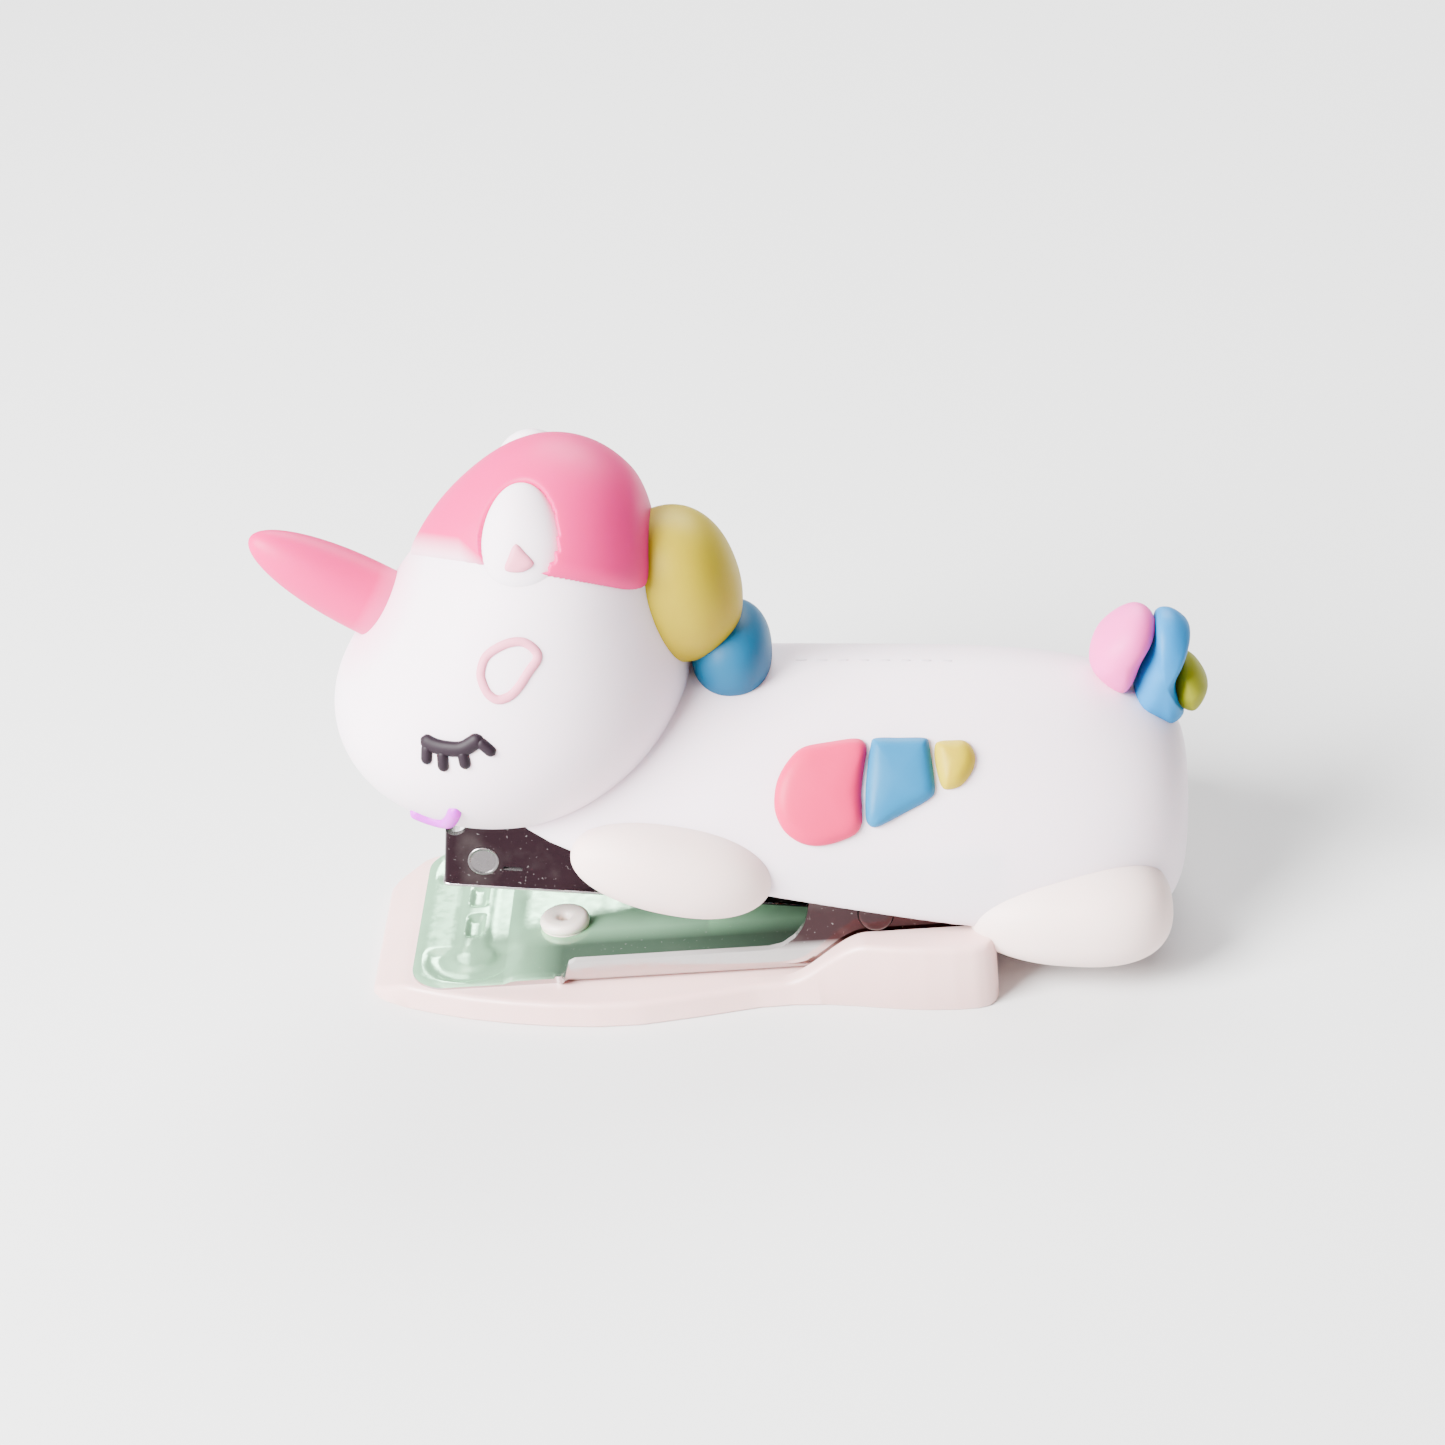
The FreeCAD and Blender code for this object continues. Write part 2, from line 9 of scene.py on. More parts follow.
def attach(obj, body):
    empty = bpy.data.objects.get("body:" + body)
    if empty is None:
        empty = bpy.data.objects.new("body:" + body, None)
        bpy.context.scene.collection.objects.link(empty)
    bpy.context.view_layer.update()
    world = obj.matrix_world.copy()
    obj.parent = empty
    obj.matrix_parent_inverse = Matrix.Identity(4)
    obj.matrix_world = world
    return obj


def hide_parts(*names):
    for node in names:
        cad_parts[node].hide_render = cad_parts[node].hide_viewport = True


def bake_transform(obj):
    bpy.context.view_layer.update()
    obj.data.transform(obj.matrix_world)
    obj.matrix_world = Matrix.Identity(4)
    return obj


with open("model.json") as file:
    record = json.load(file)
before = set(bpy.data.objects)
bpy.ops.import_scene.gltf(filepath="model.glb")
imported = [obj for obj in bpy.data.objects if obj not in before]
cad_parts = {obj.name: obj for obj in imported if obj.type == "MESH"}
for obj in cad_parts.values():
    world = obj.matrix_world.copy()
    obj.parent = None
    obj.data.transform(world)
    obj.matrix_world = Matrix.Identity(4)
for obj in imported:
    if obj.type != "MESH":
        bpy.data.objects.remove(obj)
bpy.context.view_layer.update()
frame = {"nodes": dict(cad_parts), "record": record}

# A mini stapler dressed as a lying unicorn. Lengths in this file are in
# millimetres unless a name says otherwise; MM turns them into scene metres.
# +X points to the tail, -Y to the side the camera sees, +Z up.

# ---- driving dimensions ----
MM = 0.001
MIDDLE = 1.84            # the drawing's X of the middle of the overall length
SIDE_VIEW = 30.0         # pads and marks are drawn in a plane facing up by this angle
BODY_CENTRE = (11.5, 0, 14.2)
BODY_HALF = (35.2, 16.3, 16.4, 13.0)    # along, across, above and below the centre
BODY_TILT = 4.6          # degrees
EDGE_POINT = (3.9, 12.9)     # a point of the cover's lower edge, X and Z
EDGE_SLOPE = 15.5        # degrees that edge drops towards the tail
PIN = (14.5, 9.2)        # the hinge axis, X and Z
HANDLE_ANGLE = 17.7      # degrees the handle is turned up at rest
FLOOR_TOP = 2.6          # top of the thin part of the plastic foot
RIM_TOP = 7.2            # top of the foot's raised rear rim
WELL_HALF = 14.45        # half width of the opening in that rim
SHEET = 0.8              # base plate steel
PLATE_HALF = 14.1        # half width over the flanges
PLATE_FRONT = -33.8
PLATE_REAR = 24.0
PLATE_CORNER = 4.0       # radius of the front corners
PLATE_EDGE = 13.45       # half width where the plate has no flange
FOLD_START = -18.6       # X where the flanges begin
FOOT_FRONT = -38.2
FOOT_REAR = 26.3
FOOT_ROUND = 0.7         # rounded upper edge
BEND = 1.5               # outer radius where the plate turns up into a flange
ANVIL_X = -27.7
ANVIL_REAR = -23.2       # behind this X the plate is not pressed down
GROUND_DEPTH = 0.32      # how deep the plate is pressed round the anvil
POCKET_DEPTH = 0.55
MOAT_DEPTH = 0.4         # the crescent round each end of the anvil
DEEPEST = 0.72           # less than the sheet
STUD = (-18.2, -3.7)
FAR_WING_DROP = 2.8      # the far wing sits this much lower than the near one
FULL_STROKE = 18.6       # degrees from rest to the end of the stroke
FLANGE_TOP = 5.5         # highest point of a flange beside the front legs
MAG_ANGLE = 8.3          # degrees the magazine is turned up at rest
MAG_HALF = 7.2           # half width of the magazine
MAG_BOTTOM = -4.28       # under the pin's axis, magazine level
NOSE = -44.0             # front of the magazine, from the pin
COIL_FRONT = -33.6       # the pusher's spring, from the pin
COIL_REAR = -3.4
COIL_RADIUS = 1.6
COIL_TURNS = 14
ROD_HEIGHT = 0.2         # over the hinge axis, magazine level
EAR_CENTRE = (-16.7, -8.1, 50.7)
HORN_ROOT = (-31.2, 0, 39.4)
HORN_TIP = (-45.0, 0, 48.9)
HORN_RADIUS = 3.67
HORN_WAIST = 3.4         # where the horn starts to taper
FACING_Y = 0.5           # upward direction in the facing plane, near side
FACING_Z = 0.866
CAP_SLOPE = 0.24         # the cap's lower rim drops this much per millimetre of X
CAP_REAR = -4.9          # X of the cap's back edge
CAMERA_TURN = 4.5        # degrees towards the tail
CAMERA_HEIGHT = 30.0     # degrees above the table
CAMERA_ROLL = 6.0        # degrees
CAMERA_REACH = 380.0     # from the point it looks at
CAMERA_AIM = (0, 0.36, 24.0)
VIEW_WIDTH = 147.449     # how much the picture shows across, at that point
SENSOR = 36.0


# ---- fields: negative inside, about millimetres outside ----
def turned(points, centre, tilt=0.0, lean=0.0):
    """Points seen from a part that was tilted about Y, leaned about X, then moved."""
    p = points - np.array(centre, float)
    a = math.radians(lean)
    y = p[..., 1] * math.cos(a) + p[..., 2] * math.sin(a)
    z = p[..., 2] * math.cos(a) - p[..., 1] * math.sin(a)
    b = math.radians(tilt)
    x = p[..., 0] * math.cos(b) - z * math.sin(b)
    z = p[..., 0] * math.sin(b) + z * math.cos(b)
    return np.stack([x, y, z], -1)


def ellipsoid(points, centre, radii, tilt=0.0):
    q = turned(points, centre, tilt)
    r = np.array(radii, float)
    k0 = np.linalg.norm(q / r, axis=-1)
    k1 = np.linalg.norm(q / r ** 2, axis=-1) + 1e-9
    return k0 * (k0 - 1) / k1


def boxy(points, centre, radii, tilt=0.0, power=2.2, taper=0.0):
    """An ellipsoid with fuller corners; taper makes its +X end thicker."""
    q = turned(points, centre, tilt)
    share = 1 + taper * np.clip(q[..., 0] / radii[0], -1.2, 1.2)
    u = np.stack([q[..., 0] / radii[0], q[..., 1] / radii[1] / share, q[..., 2] / radii[2] / share])
    return ((np.abs(u) ** power).sum(0) ** (1 / power) - 1) * min(radii)


def join(a, b, soft):
    """Either of two fields, blended over a width where they meet."""
    h = np.maximum(soft - np.abs(a - b), 0) / soft
    return np.minimum(a, b) - h * h * soft / 4


def meet(a, b, soft):
    """What is inside both fields, with a rounded edge."""
    return -join(-a, -b, soft)


def body_field(p):
    """A loaf with a narrow back, cut off below by the cover's lower edge."""
    q = turned(p, BODY_CENTRE, BODY_TILT)
    along, across, above, below = BODY_HALF
    wide = np.abs(q[..., 1]) / across
    high = np.where(q[..., 2] > 0, q[..., 2] / above, -q[..., 2] / below)
    power = np.where(q[..., 2] > 0, 1.85, 2.8)
    section = (wide ** power + high ** power) ** (1 / power)
    fullness = 3.8
    ends = np.abs(q[..., 0] / along)
    whole = (section ** fullness + ends ** fullness) ** (1 / fullness)
    slope = math.radians(EDGE_SLOPE)
    dx, dz = p[..., 0] - EDGE_POINT[0], p[..., 2] - EDGE_POINT[1]
    under = -(dz * math.cos(slope) + dx * math.sin(slope))
    return meet((whole - 1) * across, under, 1.2)


def head_field(p):
    """Skull, brow and broad cheeks melted together."""
    skull = ellipsoid(p, (-15.9, 0, 42.2), (10.9, 12.2, 13.8), 15)
    brow = ellipsoid(p, (-18.4, 0, 36.2), (14.2, 15.2, 13.4), 10)
    cheeks = ellipsoid(p, (-21.0, 0, 30.2), (18.0, 18.1, 12.9), -4)
    return join(join(skull, brow, 5), cheeks, 5)


def ear_field(p):
    """An egg leaning on the side of the head, narrower at its top."""
    q = turned(p, EAR_CENTRE, 0, -31)
    q[..., 0] *= 1 + 0.028 * q[..., 2]
    return ellipsoid(q, (0, 0, 0), (4.1, 2.6, 5.6))


def cap_field(p):
    """The pink mane: a rolled skin over the back of the head, with a valley round each ear."""
    other = p * np.array([1, -1, 1])
    ears = np.minimum(ear_field(p), ear_field(other))
    up = p[..., 2] * FACING_Z - np.abs(p[..., 1]) * FACING_Y
    low = up - 36.6 + CAP_SLOPE * (p[..., 0] + 16)
    back = CAP_REAR - p[..., 0]
    front = np.clip((-15 - p[..., 0]) / 8, 0, 1)
    rim = join(low / (1 + 1.6 * front), back, 3.0)
    inside = np.minimum(rim, ears * 1.7 + 0.4)
    top = 1.0 + 0.15 * np.clip((p[..., 0] + 28) / 12, 0, 1)
    thick = top * np.sqrt(1 - (1 - np.clip(inside / 1.7, 0, 1)) ** 2) - 0.05
    return meet(meet(head_field(p) - thick, -low - 0.3, 0.1), -back - 0.3, 0.1)


# ---- meshes ----
def make_object(name, verts, faces, smooth=True):
    """A scene object from drawing coordinates in millimetres."""
    mesh = bpy.data.meshes.new(name)
    placed = (np.asarray(verts, float) - np.array([MIDDLE, 0, 0])) * MM
    mesh.from_pydata(placed.tolist(), [], [list(map(int, f)) for f in faces])
    mesh.validate()
    mesh.polygons.foreach_set("use_smooth", [smooth] * len(mesh.polygons))
    mesh.update()
    obj = bpy.data.objects.new(name, mesh)
    bpy.context.scene.collection.objects.link(obj)
    return obj


def crease(obj, degrees):
    """Edges that turn by more than this look sharp."""
    obj.data.set_sharp_from_angle(angle=math.radians(degrees))


def cube_sphere(n):
    """Unit directions of an even quad mesh of a ball, and its faces."""
    t = np.tan(np.linspace(-math.pi / 4, math.pi / 4, n + 1))
    u, v = np.meshgrid(t, t, indexing="ij")
    one = np.ones_like(u)
    sides = [(one, u, v), (-one, v, u), (v, one, u),
             (u, -one, v), (u, v, one), (v, u, -one)]
    keys = {}
    dirs = []
    faces = []
    for side in sides:
        d = np.stack(side, -1).reshape(-1, 3)
        index = []
        for point in d:
            key = tuple(np.round(point, 6))
            if key not in keys:
                keys[key] = len(dirs)
                dirs.append(point)
            index.append(keys[key])
        index = np.array(index).reshape(n + 1, n + 1)
        a, b, c, e = index[:-1, :-1], index[1:, :-1], index[1:, 1:], index[:-1, 1:]
        faces.append(np.stack([a, b, c, e], -1).reshape(-1, 4))
    dirs = np.array(dirs)
    return dirs / np.linalg.norm(dirs, axis=1, keepdims=True), np.concatenate(faces)


def blob(name, field, centre, detail=32, reach=60.0):
    """Closed skin of a field that is star-shaped as seen from centre."""
    dirs, faces = cube_sphere(detail)
    c = np.array(centre, float)
    steps = np.linspace(0, reach, 240)
    near = np.zeros(len(dirs))
    far = np.full(len(dirs), reach)
    found = np.zeros(len(dirs), bool)
    for low, high in zip(steps[:-1], steps[1:]):
        out = field(c + dirs * high) > 0
        fresh = out & ~found
        near[fresh] = low
        far[fresh] = high
        found |= out
    for _ in range(24):
        mid = (near + far) / 2
        out = field(c + dirs * mid[:, None]) > 0
        far = np.where(out, mid, far)
        near = np.where(out, near, mid)
    return make_object(name, c + dirs * near[:, None], faces)


def mirror_of(obj, name):
    """The same piece on the other side of Y = 0."""
    twin = bpy.data.objects.new(name, obj.data.copy())
    twin.data.name = name
    twin.data.transform(Matrix.Diagonal((1, -1, 1, 1)))
    twin.data.flip_normals()
    bpy.context.scene.collection.objects.link(twin)
    return twin


def merged(name, parts):
    """One object from several, which are used up."""
    verts = []
    faces = []
    for part in parts:
        start = len(verts)
        verts += [v.co / MM + Vector((MIDDLE, 0, 0)) for v in part.data.vertices]
        faces += [[start + i for i in f.vertices] for f in part.data.polygons]
        bpy.data.objects.remove(part)
    return make_object(name, [tuple(v) for v in verts], faces)


def facing_axes():
    """Upward and outward directions of the facing plane."""
    a = math.radians(SIDE_VIEW)
    up = np.array([0, math.sin(a), math.cos(a)])
    out = np.array([0, -math.cos(a), math.sin(a)])
    return up, out


def on_surface(xv, field):
    """Points (x, v) of the facing plane dropped onto a field from outside."""
    up, out = facing_axes()
    xv = np.asarray(xv, float)
    p = np.zeros((len(xv), 3))
    p[:, 0] = xv[:, 0]
    p += xv[:, 1:2] * up + 60 * out
    for _ in range(200):
        p -= out * (np.maximum(field(p), -5) * 0.6)[:, None]
    return p


def normals(field, p):
    """Outward directions of a field at points on it."""
    e = 0.02
    grad = []
    for axis in range(3):
        step = np.zeros(3)
        step[axis] = e
        grad.append(field(p + step) - field(p - step))
    g = np.stack(grad, -1)
    return g / (np.linalg.norm(g, axis=-1, keepdims=True) + 1e-12)


def soft_loop(points, count=96):
    """Closed Catmull-Rom curve through the points, evenly spaced."""
    pts = np.asarray(points, float)
    n = len(pts)
    t = np.linspace(0, n, count * 6, endpoint=False)
    i = t.astype(int)
    f = (t - i)[:, None]
    p0, p1, p2, p3 = (pts[(i + k) % n] for k in (-1, 0, 1, 2))
    line = 0.5 * (2 * p1 + (p2 - p0) * f + (2 * p0 - 5 * p1 + 4 * p2 - p3) * f ** 2
                  + (3 * p1 - p0 - 3 * p2 + p3) * f ** 3)
    closed = np.vstack([line, line[:1]])
    along = np.concatenate([[0], np.cumsum(np.linalg.norm(np.diff(closed, axis=0), axis=1))])
    even = np.linspace(0, along[-1], count, endpoint=False)
    return np.stack([np.interp(even, along, closed[:, k]) for k in range(pts.shape[1])], -1)


def ring_faces(rings, n):
    """Quads between closed rings of n points each."""
    faces = []
    for ring in range(rings - 1):
        a = ring * n
        faces += [(a + i, a + n + i, a + n + (i + 1) % n, a + (i + 1) % n) for i in range(n)]
    return faces


def pad(name, outline, field, height, edge=1.0, crown=0.0):
    """A low cushion with a rounded rim, lying on a field and sunk a little into it."""
    sink = 0.4
    loop = soft_loop(outline, 120)
    mid = loop.mean(0)
    n = len(loop)
    shares = [0.2, 0.4, 0.55, 0.66, 0.75, 0.82, 0.88, 0.92, 0.95, 0.975, 0.992, 1.0]
    spot = on_surface([mid], field)
    out = normals(field, spot)
    rings = []
    for share in shares:
        p = on_surface(mid + (loop - mid) * share, field)
        away = (1 - share) * np.linalg.norm(loop - mid, axis=1)
        rim = np.sqrt(1 - (1 - np.minimum(away / edge, 1)) ** 2)
        lift = rim * (height + crown * (1 - share ** 2))
        rings.append(p + normals(field, p) * lift[:, None])
    base = on_surface(loop, field)
    rings.append(base - normals(field, base) * sink)
    verts = np.concatenate(rings + [spot + out * (height + crown), spot - out * sink])
    last = (len(rings) - 1) * n
    peak, root = len(verts) - 2, len(verts) - 1
    faces = ring_faces(len(rings), n)
    faces += [(peak, i, (i + 1) % n) for i in range(n)]
    faces += [(last + i, root, last + (i + 1) % n) for i in range(n)]
    return make_object(name, verts, [f[::-1] for f in faces])


def pillow(name, outline, half_thickness, edge):
    """A flat curl in the X-Z plane, swollen to both sides of Y = 0."""
    loop = soft_loop(outline, 96)
    mid = loop.mean(0)
    n = len(loop)
    shares = [0.15, 0.3, 0.45, 0.58, 0.7, 0.8, 0.87, 0.93, 0.97, 0.99, 1.0]
    rings = []
    for side in (-1, 1):
        order = shares if side < 0 else shares[-2::-1]
        for share in order:
            flat = mid + (loop - mid) * share
            swell = math.sqrt(1 - share ** edge)
            y = np.full(n, side * half_thickness * swell)
            rings.append(np.stack([flat[:, 0], y, flat[:, 1]], -1))
    ends = np.array([[mid[0], -half_thickness, mid[1]], [mid[0], half_thickness, mid[1]]])
    verts = np.concatenate(rings + [ends])
    near, far = len(verts) - 2, len(verts) - 1
    last = (len(rings) - 1) * n
    faces = ring_faces(len(rings), n)
    faces += [(near, i, (i + 1) % n) for i in range(n)]
    faces += [(last + i, far, last + (i + 1) % n) for i in range(n)]
    return make_object(name, verts, faces)


def tube(name, line, field, width, height, closed):
    """A bead along a line (x, v) dropped onto a field."""
    p = on_surface(line, field)
    return bead(name, p, normals(field, p), width, height, closed)


def bead(name, p, nrm, width, height, closed, sides=14):
    """A bead along points with known outward normals."""
    n = len(p)
    if closed:
        tangent = np.roll(p, -1, 0) - np.roll(p, 1, 0)
    else:
        tangent = np.gradient(p, axis=0)
    tangent /= np.linalg.norm(tangent, axis=1, keepdims=True)
    side = np.cross(nrm, tangent)
    side /= np.linalg.norm(side, axis=1, keepdims=True)
    width = np.broadcast_to(width, n)
    height = np.broadcast_to(height, n)
    angle = np.linspace(0, 2 * math.pi, sides, endpoint=False)
    rings = [p + side * (width * math.cos(a))[:, None] + nrm * (height * math.sin(a))[:, None]
             for a in angle]
    verts = np.stack(rings, 1).reshape(-1, 3)
    faces = []
    for i in range(n if closed else n - 1):
        for k in range(sides):
            a, b = i * sides, ((i + 1) % n) * sides
            j = (k + 1) % sides
            faces.append((a + k, b + k, b + j, a + j))
    if not closed:
        faces.append(tuple(range(sides)))
        faces.append(tuple(reversed(range((n - 1) * sides, n * sides))))
    return make_object(name, verts, faces)


def tapered(points, count, width):
    """An open smooth line and a width that is round at both ends."""
    pts = np.asarray(points, float)
    t = np.linspace(0, len(pts) - 1, count)
    i = np.minimum(t.astype(int), len(pts) - 2)
    f = (t - i)[:, None]
    ext = np.vstack([2 * pts[0] - pts[1], pts, 2 * pts[-1] - pts[-2]])
    p0, p1, p2, p3 = (ext[i + k] for k in range(4))
    line = 0.5 * (2 * p1 + (p2 - p0) * f + (2 * p0 - 5 * p1 + 4 * p2 - p3) * f ** 2
                  + (3 * p1 - p0 - 3 * p2 + p3) * f ** 3)
    along = np.concatenate([[0], np.cumsum(np.linalg.norm(np.diff(line, axis=0), axis=1))])
    end = np.minimum(along, along[-1] - along)
    w = width * np.sqrt(np.clip(1 - (1 - np.minimum(end / width, 1)) ** 2, 0.03, 1))
    return line, w


def lathe(name, profile, spot, axis, count=40):
    """A turned part; the profile lists (radius, height) along the axis from spot."""
    z = Vector(axis).normalized()
    x = z.orthogonal().normalized()
    y = z.cross(x)
    rings = []
    for radius, height in profile:
        for i in range(count):
            a = 2 * math.pi * i / count
            out = x * math.cos(a) + y * math.sin(a)
            rings.append(tuple(Vector(spot) + z * height + out * max(radius, 0.001)))
    faces = [f[::-1] for f in ring_faces(len(profile), count)]
    last = (len(profile) - 1) * count
    faces.append(tuple(reversed(range(count))))
    faces.append(tuple(range(last, last + count)))
    return make_object(name, rings, faces)


def arc(radius, centre_r, centre_h, start, end, steps):
    """Profile points of a rounded edge, angles in degrees from the radius direction."""
    angles = np.radians(np.linspace(start, end, steps))
    return [(centre_r + radius * math.cos(a), centre_h + radius * math.sin(a)) for a in angles]


# ---- materials ----
def node_of(nt, kind, **values):
    """A shader node with constants set on its sockets."""
    node = nt.nodes.new(kind)
    for key, value in values.items():
        node.inputs[key].default_value = value
    return node


def calc(nt, operation, *values):
    """A math node; each value is a number or a socket."""
    node = nt.nodes.new("ShaderNodeMath")
    node.operation = operation
    for socket, value in zip(node.inputs, values):
        if isinstance(value, float):
            socket.default_value = value
        else:
            nt.links.new(value, socket)
    return node.outputs[0]


def measure_by(nt, place, operation, vector):
    """Dot product with, or distance to, a fixed vector in metres."""
    node = nt.nodes.new("ShaderNodeVectorMath")
    node.operation = operation
    node.inputs[1].default_value = vector
    nt.links.new(place.outputs["Object"], node.inputs[0])
    return node.outputs["Value"]


def parts_of(nt, vector):
    node = nt.nodes.new("ShaderNodeSeparateXYZ")
    nt.links.new(vector, node.inputs["Vector"])
    return node.outputs


def noise(nt, place, scale, detail):
    cloud = node_of(nt, "ShaderNodeTexNoise", Scale=scale, Detail=detail)
    nt.links.new(place.outputs["Object"], cloud.inputs["Vector"])
    return cloud


def blend_colours(nt, share, first, second):
    """Colours are tuples or sockets."""
    mix = nt.nodes.new("ShaderNodeMix")
    mix.data_type = "RGBA"
    nt.links.new(share, mix.inputs["Factor"])
    for socket, colour in (("A", first), ("B", second)):
        if isinstance(colour, tuple):
            mix.inputs[socket].default_value = (*colour, 1)
        else:
            nt.links.new(colour, mix.inputs[socket])
    return mix.outputs["Result"]


def ranged(nt, value, low, high, to_low, to_high):
    span = node_of(nt, "ShaderNodeMapRange")
    span.inputs["From Min"].default_value = low
    span.inputs["From Max"].default_value = high
    span.inputs["To Min"].default_value = to_low
    span.inputs["To Max"].default_value = to_high
    nt.links.new(value, span.inputs["Value"])
    return span.outputs["Result"]


def bumped(nt, height, strength, distance, below=None):
    bump = node_of(nt, "ShaderNodeBump", Strength=strength, Distance=distance)
    nt.links.new(height, bump.inputs["Height"])
    if below is not None:
        nt.links.new(below, bump.inputs["Normal"])
    return bump.outputs["Normal"]


def linear(hexa):
    """A colour code as the scene-linear tuple that shaders take."""
    rgb = [int(hexa[i:i + 2], 16) / 255 for i in (0, 2, 4)]
    return tuple(c / 12.92 if c < 0.04045 else ((c + 0.055) / 1.055) ** 2.4 for c in rgb)


def new_material(name):
    mat = bpy.data.materials.new(name)
    mat.use_nodes = True
    nt = mat.node_tree
    return mat, nt, nt.nodes["Principled BSDF"], nt.nodes.new("ShaderNodeTexCoord")


def soft_vinyl(name, hexa, shade_hexa, rough=0.5, glow=0.3):
    """Matt moulded PVC: faint clouding, spark texture of the mould, slight wear gloss."""
    mat, nt, shader, place = new_material(name)
    cloud = noise(nt, place, 45.0, 3.0)
    grain = noise(nt, place, 2600.0, 2.0)
    rub = noise(nt, place, 130.0, 4.0)
    share = ranged(nt, cloud.outputs["Fac"], 0.3, 0.7, 0.0, 1.0)
    tint = blend_colours(nt, share, linear(shade_hexa), linear(hexa))
    nt.links.new(tint, shader.inputs["Base Color"])
    gloss = ranged(nt, rub.outputs["Fac"], 0.3, 0.7, rough - 0.05, rough + 0.07)
    nt.links.new(gloss, shader.inputs["Roughness"])
    wavy = bumped(nt, rub.outputs["Fac"], 0.12, 0.0002)
    nt.links.new(bumped(nt, grain.outputs["Fac"], 0.2, 0.00003, wavy), shader.inputs["Normal"])
    shader.inputs["Subsurface Weight"].default_value = glow
    shader.inputs["Subsurface Scale"].default_value = 0.003
    shader.inputs["Subsurface Radius"].default_value = (1.0, 0.6, 0.5)
    shader.inputs["Specular IOR Level"].default_value = 0.25
    return mat


def hard_plastic(name, hexa, shade_hexa):
    """Smooth polystyrene with a fine satin texture and a few rubbed spots."""
    mat, nt, shader, place = new_material(name)
    cloud = noise(nt, place, 60.0, 3.0)
    grain = noise(nt, place, 3200.0, 2.0)
    rub = noise(nt, place, 200.0, 5.0)
    share = ranged(nt, cloud.outputs["Fac"], 0.3, 0.7, 0.0, 1.0)
    tint = blend_colours(nt, share, linear(shade_hexa), linear(hexa))
    nt.links.new(tint, shader.inputs["Base Color"])
    nt.links.new(ranged(nt, rub.outputs["Fac"], 0.35, 0.7, 0.3, 0.42), shader.inputs["Roughness"])
    nt.links.new(bumped(nt, grain.outputs["Fac"], 0.15, 0.00002), shader.inputs["Normal"])
    shader.inputs["Subsurface Weight"].default_value = 0.15
    shader.inputs["Subsurface Scale"].default_value = 0.002
    return mat


def steel(name, level_hexa, wall_reflection_hexa, high_reflection_hexa, rough, level_metal, reflection_band_strength=0.0):
    """Plated sheet with painted reflections: pale level faces and darker walls, by the way each face
    turns; painted dark reflection bands along both sides; smears and scratches.

    Places are in metres. The bands start behind the anvil, faces high up take the third colour, a
    darker painted reflection, and level faces above 4.4 mm take a near-white painted highlight.
    """
    mat, nt, shader, place = new_material(name)
    turn = parts_of(nt, place.outputs["Normal"])
    spot = parts_of(nt, place.outputs["Object"])
    # painted reflection: level faces take the pale colour, walls the darker ones
    level = ranged(nt, turn["Z"], 0.3, 0.85, 0.0, 1.0)
    # walls higher than 5.4 mm shade into a darker painted reflection
    high = ranged(nt, spot["Z"], 0.0054, 0.0064, 0.0, 1.0)
    # painted highlight: level faces higher than 4.4 mm turn near-white (F0ECEA)
    rim = ranged(nt, spot["Z"], 0.0040, 0.0044, 0.0, 1.0)
    smear = noise(nt, place, 160.0, 5.0)
    fine = noise(nt, place, 900.0, 4.0)
    fleck = noise(nt, place, 2400.0, 2.0)
    stretch = node_of(nt, "ShaderNodeMapping", Scale=(1.0, 9.0, 9.0))
    nt.links.new(place.outputs["Object"], stretch.inputs["Vector"])
    lines = node_of(nt, "ShaderNodeTexNoise", Scale=500.0, Detail=3.0)
    nt.links.new(stretch.outputs["Vector"], lines.inputs["Vector"])
    # painted reflection: dark bands in colour 3F4A42, 5.2 to 7.8 mm out from the middle line, behind
    # the anvil
    beside = ranged(nt, calc(nt, "ABSOLUTE", spot["Y"]), 0.0052, 0.0078, 0.0, reflection_band_strength)
    behind = ranged(nt, spot["X"], -0.0245, -0.0200, 0.0, 1.0)
    reflection_band_share = calc(nt, "MULTIPLY", beside, behind)
    flat = blend_colours(nt, reflection_band_share, linear(level_hexa), linear("3F4A42"))
    top = blend_colours(nt, rim, flat, linear("F0ECEA"))
    wall = blend_colours(nt, high, linear(wall_reflection_hexa), linear(high_reflection_hexa))
    base = blend_colours(nt, level, wall, top)
    cloudy = ranged(nt, smear.outputs["Fac"], 0.5, 0.8, 0.0, 0.25)
    specks = ranged(nt, fleck.outputs["Fac"], 0.68, 0.74, 0.0, 0.25)
    dull = blend_colours(nt, cloudy, base, linear("77726E"))
    flecked = blend_colours(nt, specks, dull, linear("D8D2D0"))
    gloss = ranged(nt, fine.outputs["Fac"], 0.3, 0.75, rough, rough + 0.16)
    waves = bumped(nt, smear.outputs["Fac"], 0.25, 0.00006)
    nt.links.new(flecked, shader.inputs["Base Color"])
    nt.links.new(gloss, shader.inputs["Roughness"])
    nt.links.new(ranged(nt, level, 0.0, 1.0, 1.0, level_metal), shader.inputs["Metallic"])
    nt.links.new(bumped(nt, lines.outputs["Fac"], 0.2, 0.00001, waves), shader.inputs["Normal"])
    return mat


def recoloured(mat, share, colour):
    """Mix another colour into a material's own; share is a socket of the same material."""
    nt = mat.node_tree
    base = nt.nodes["Principled BSDF"].inputs["Base Color"]
    own = base.links[0].from_socket
    nt.links.new(blend_colours(nt, share, own, colour), base)
    return mat


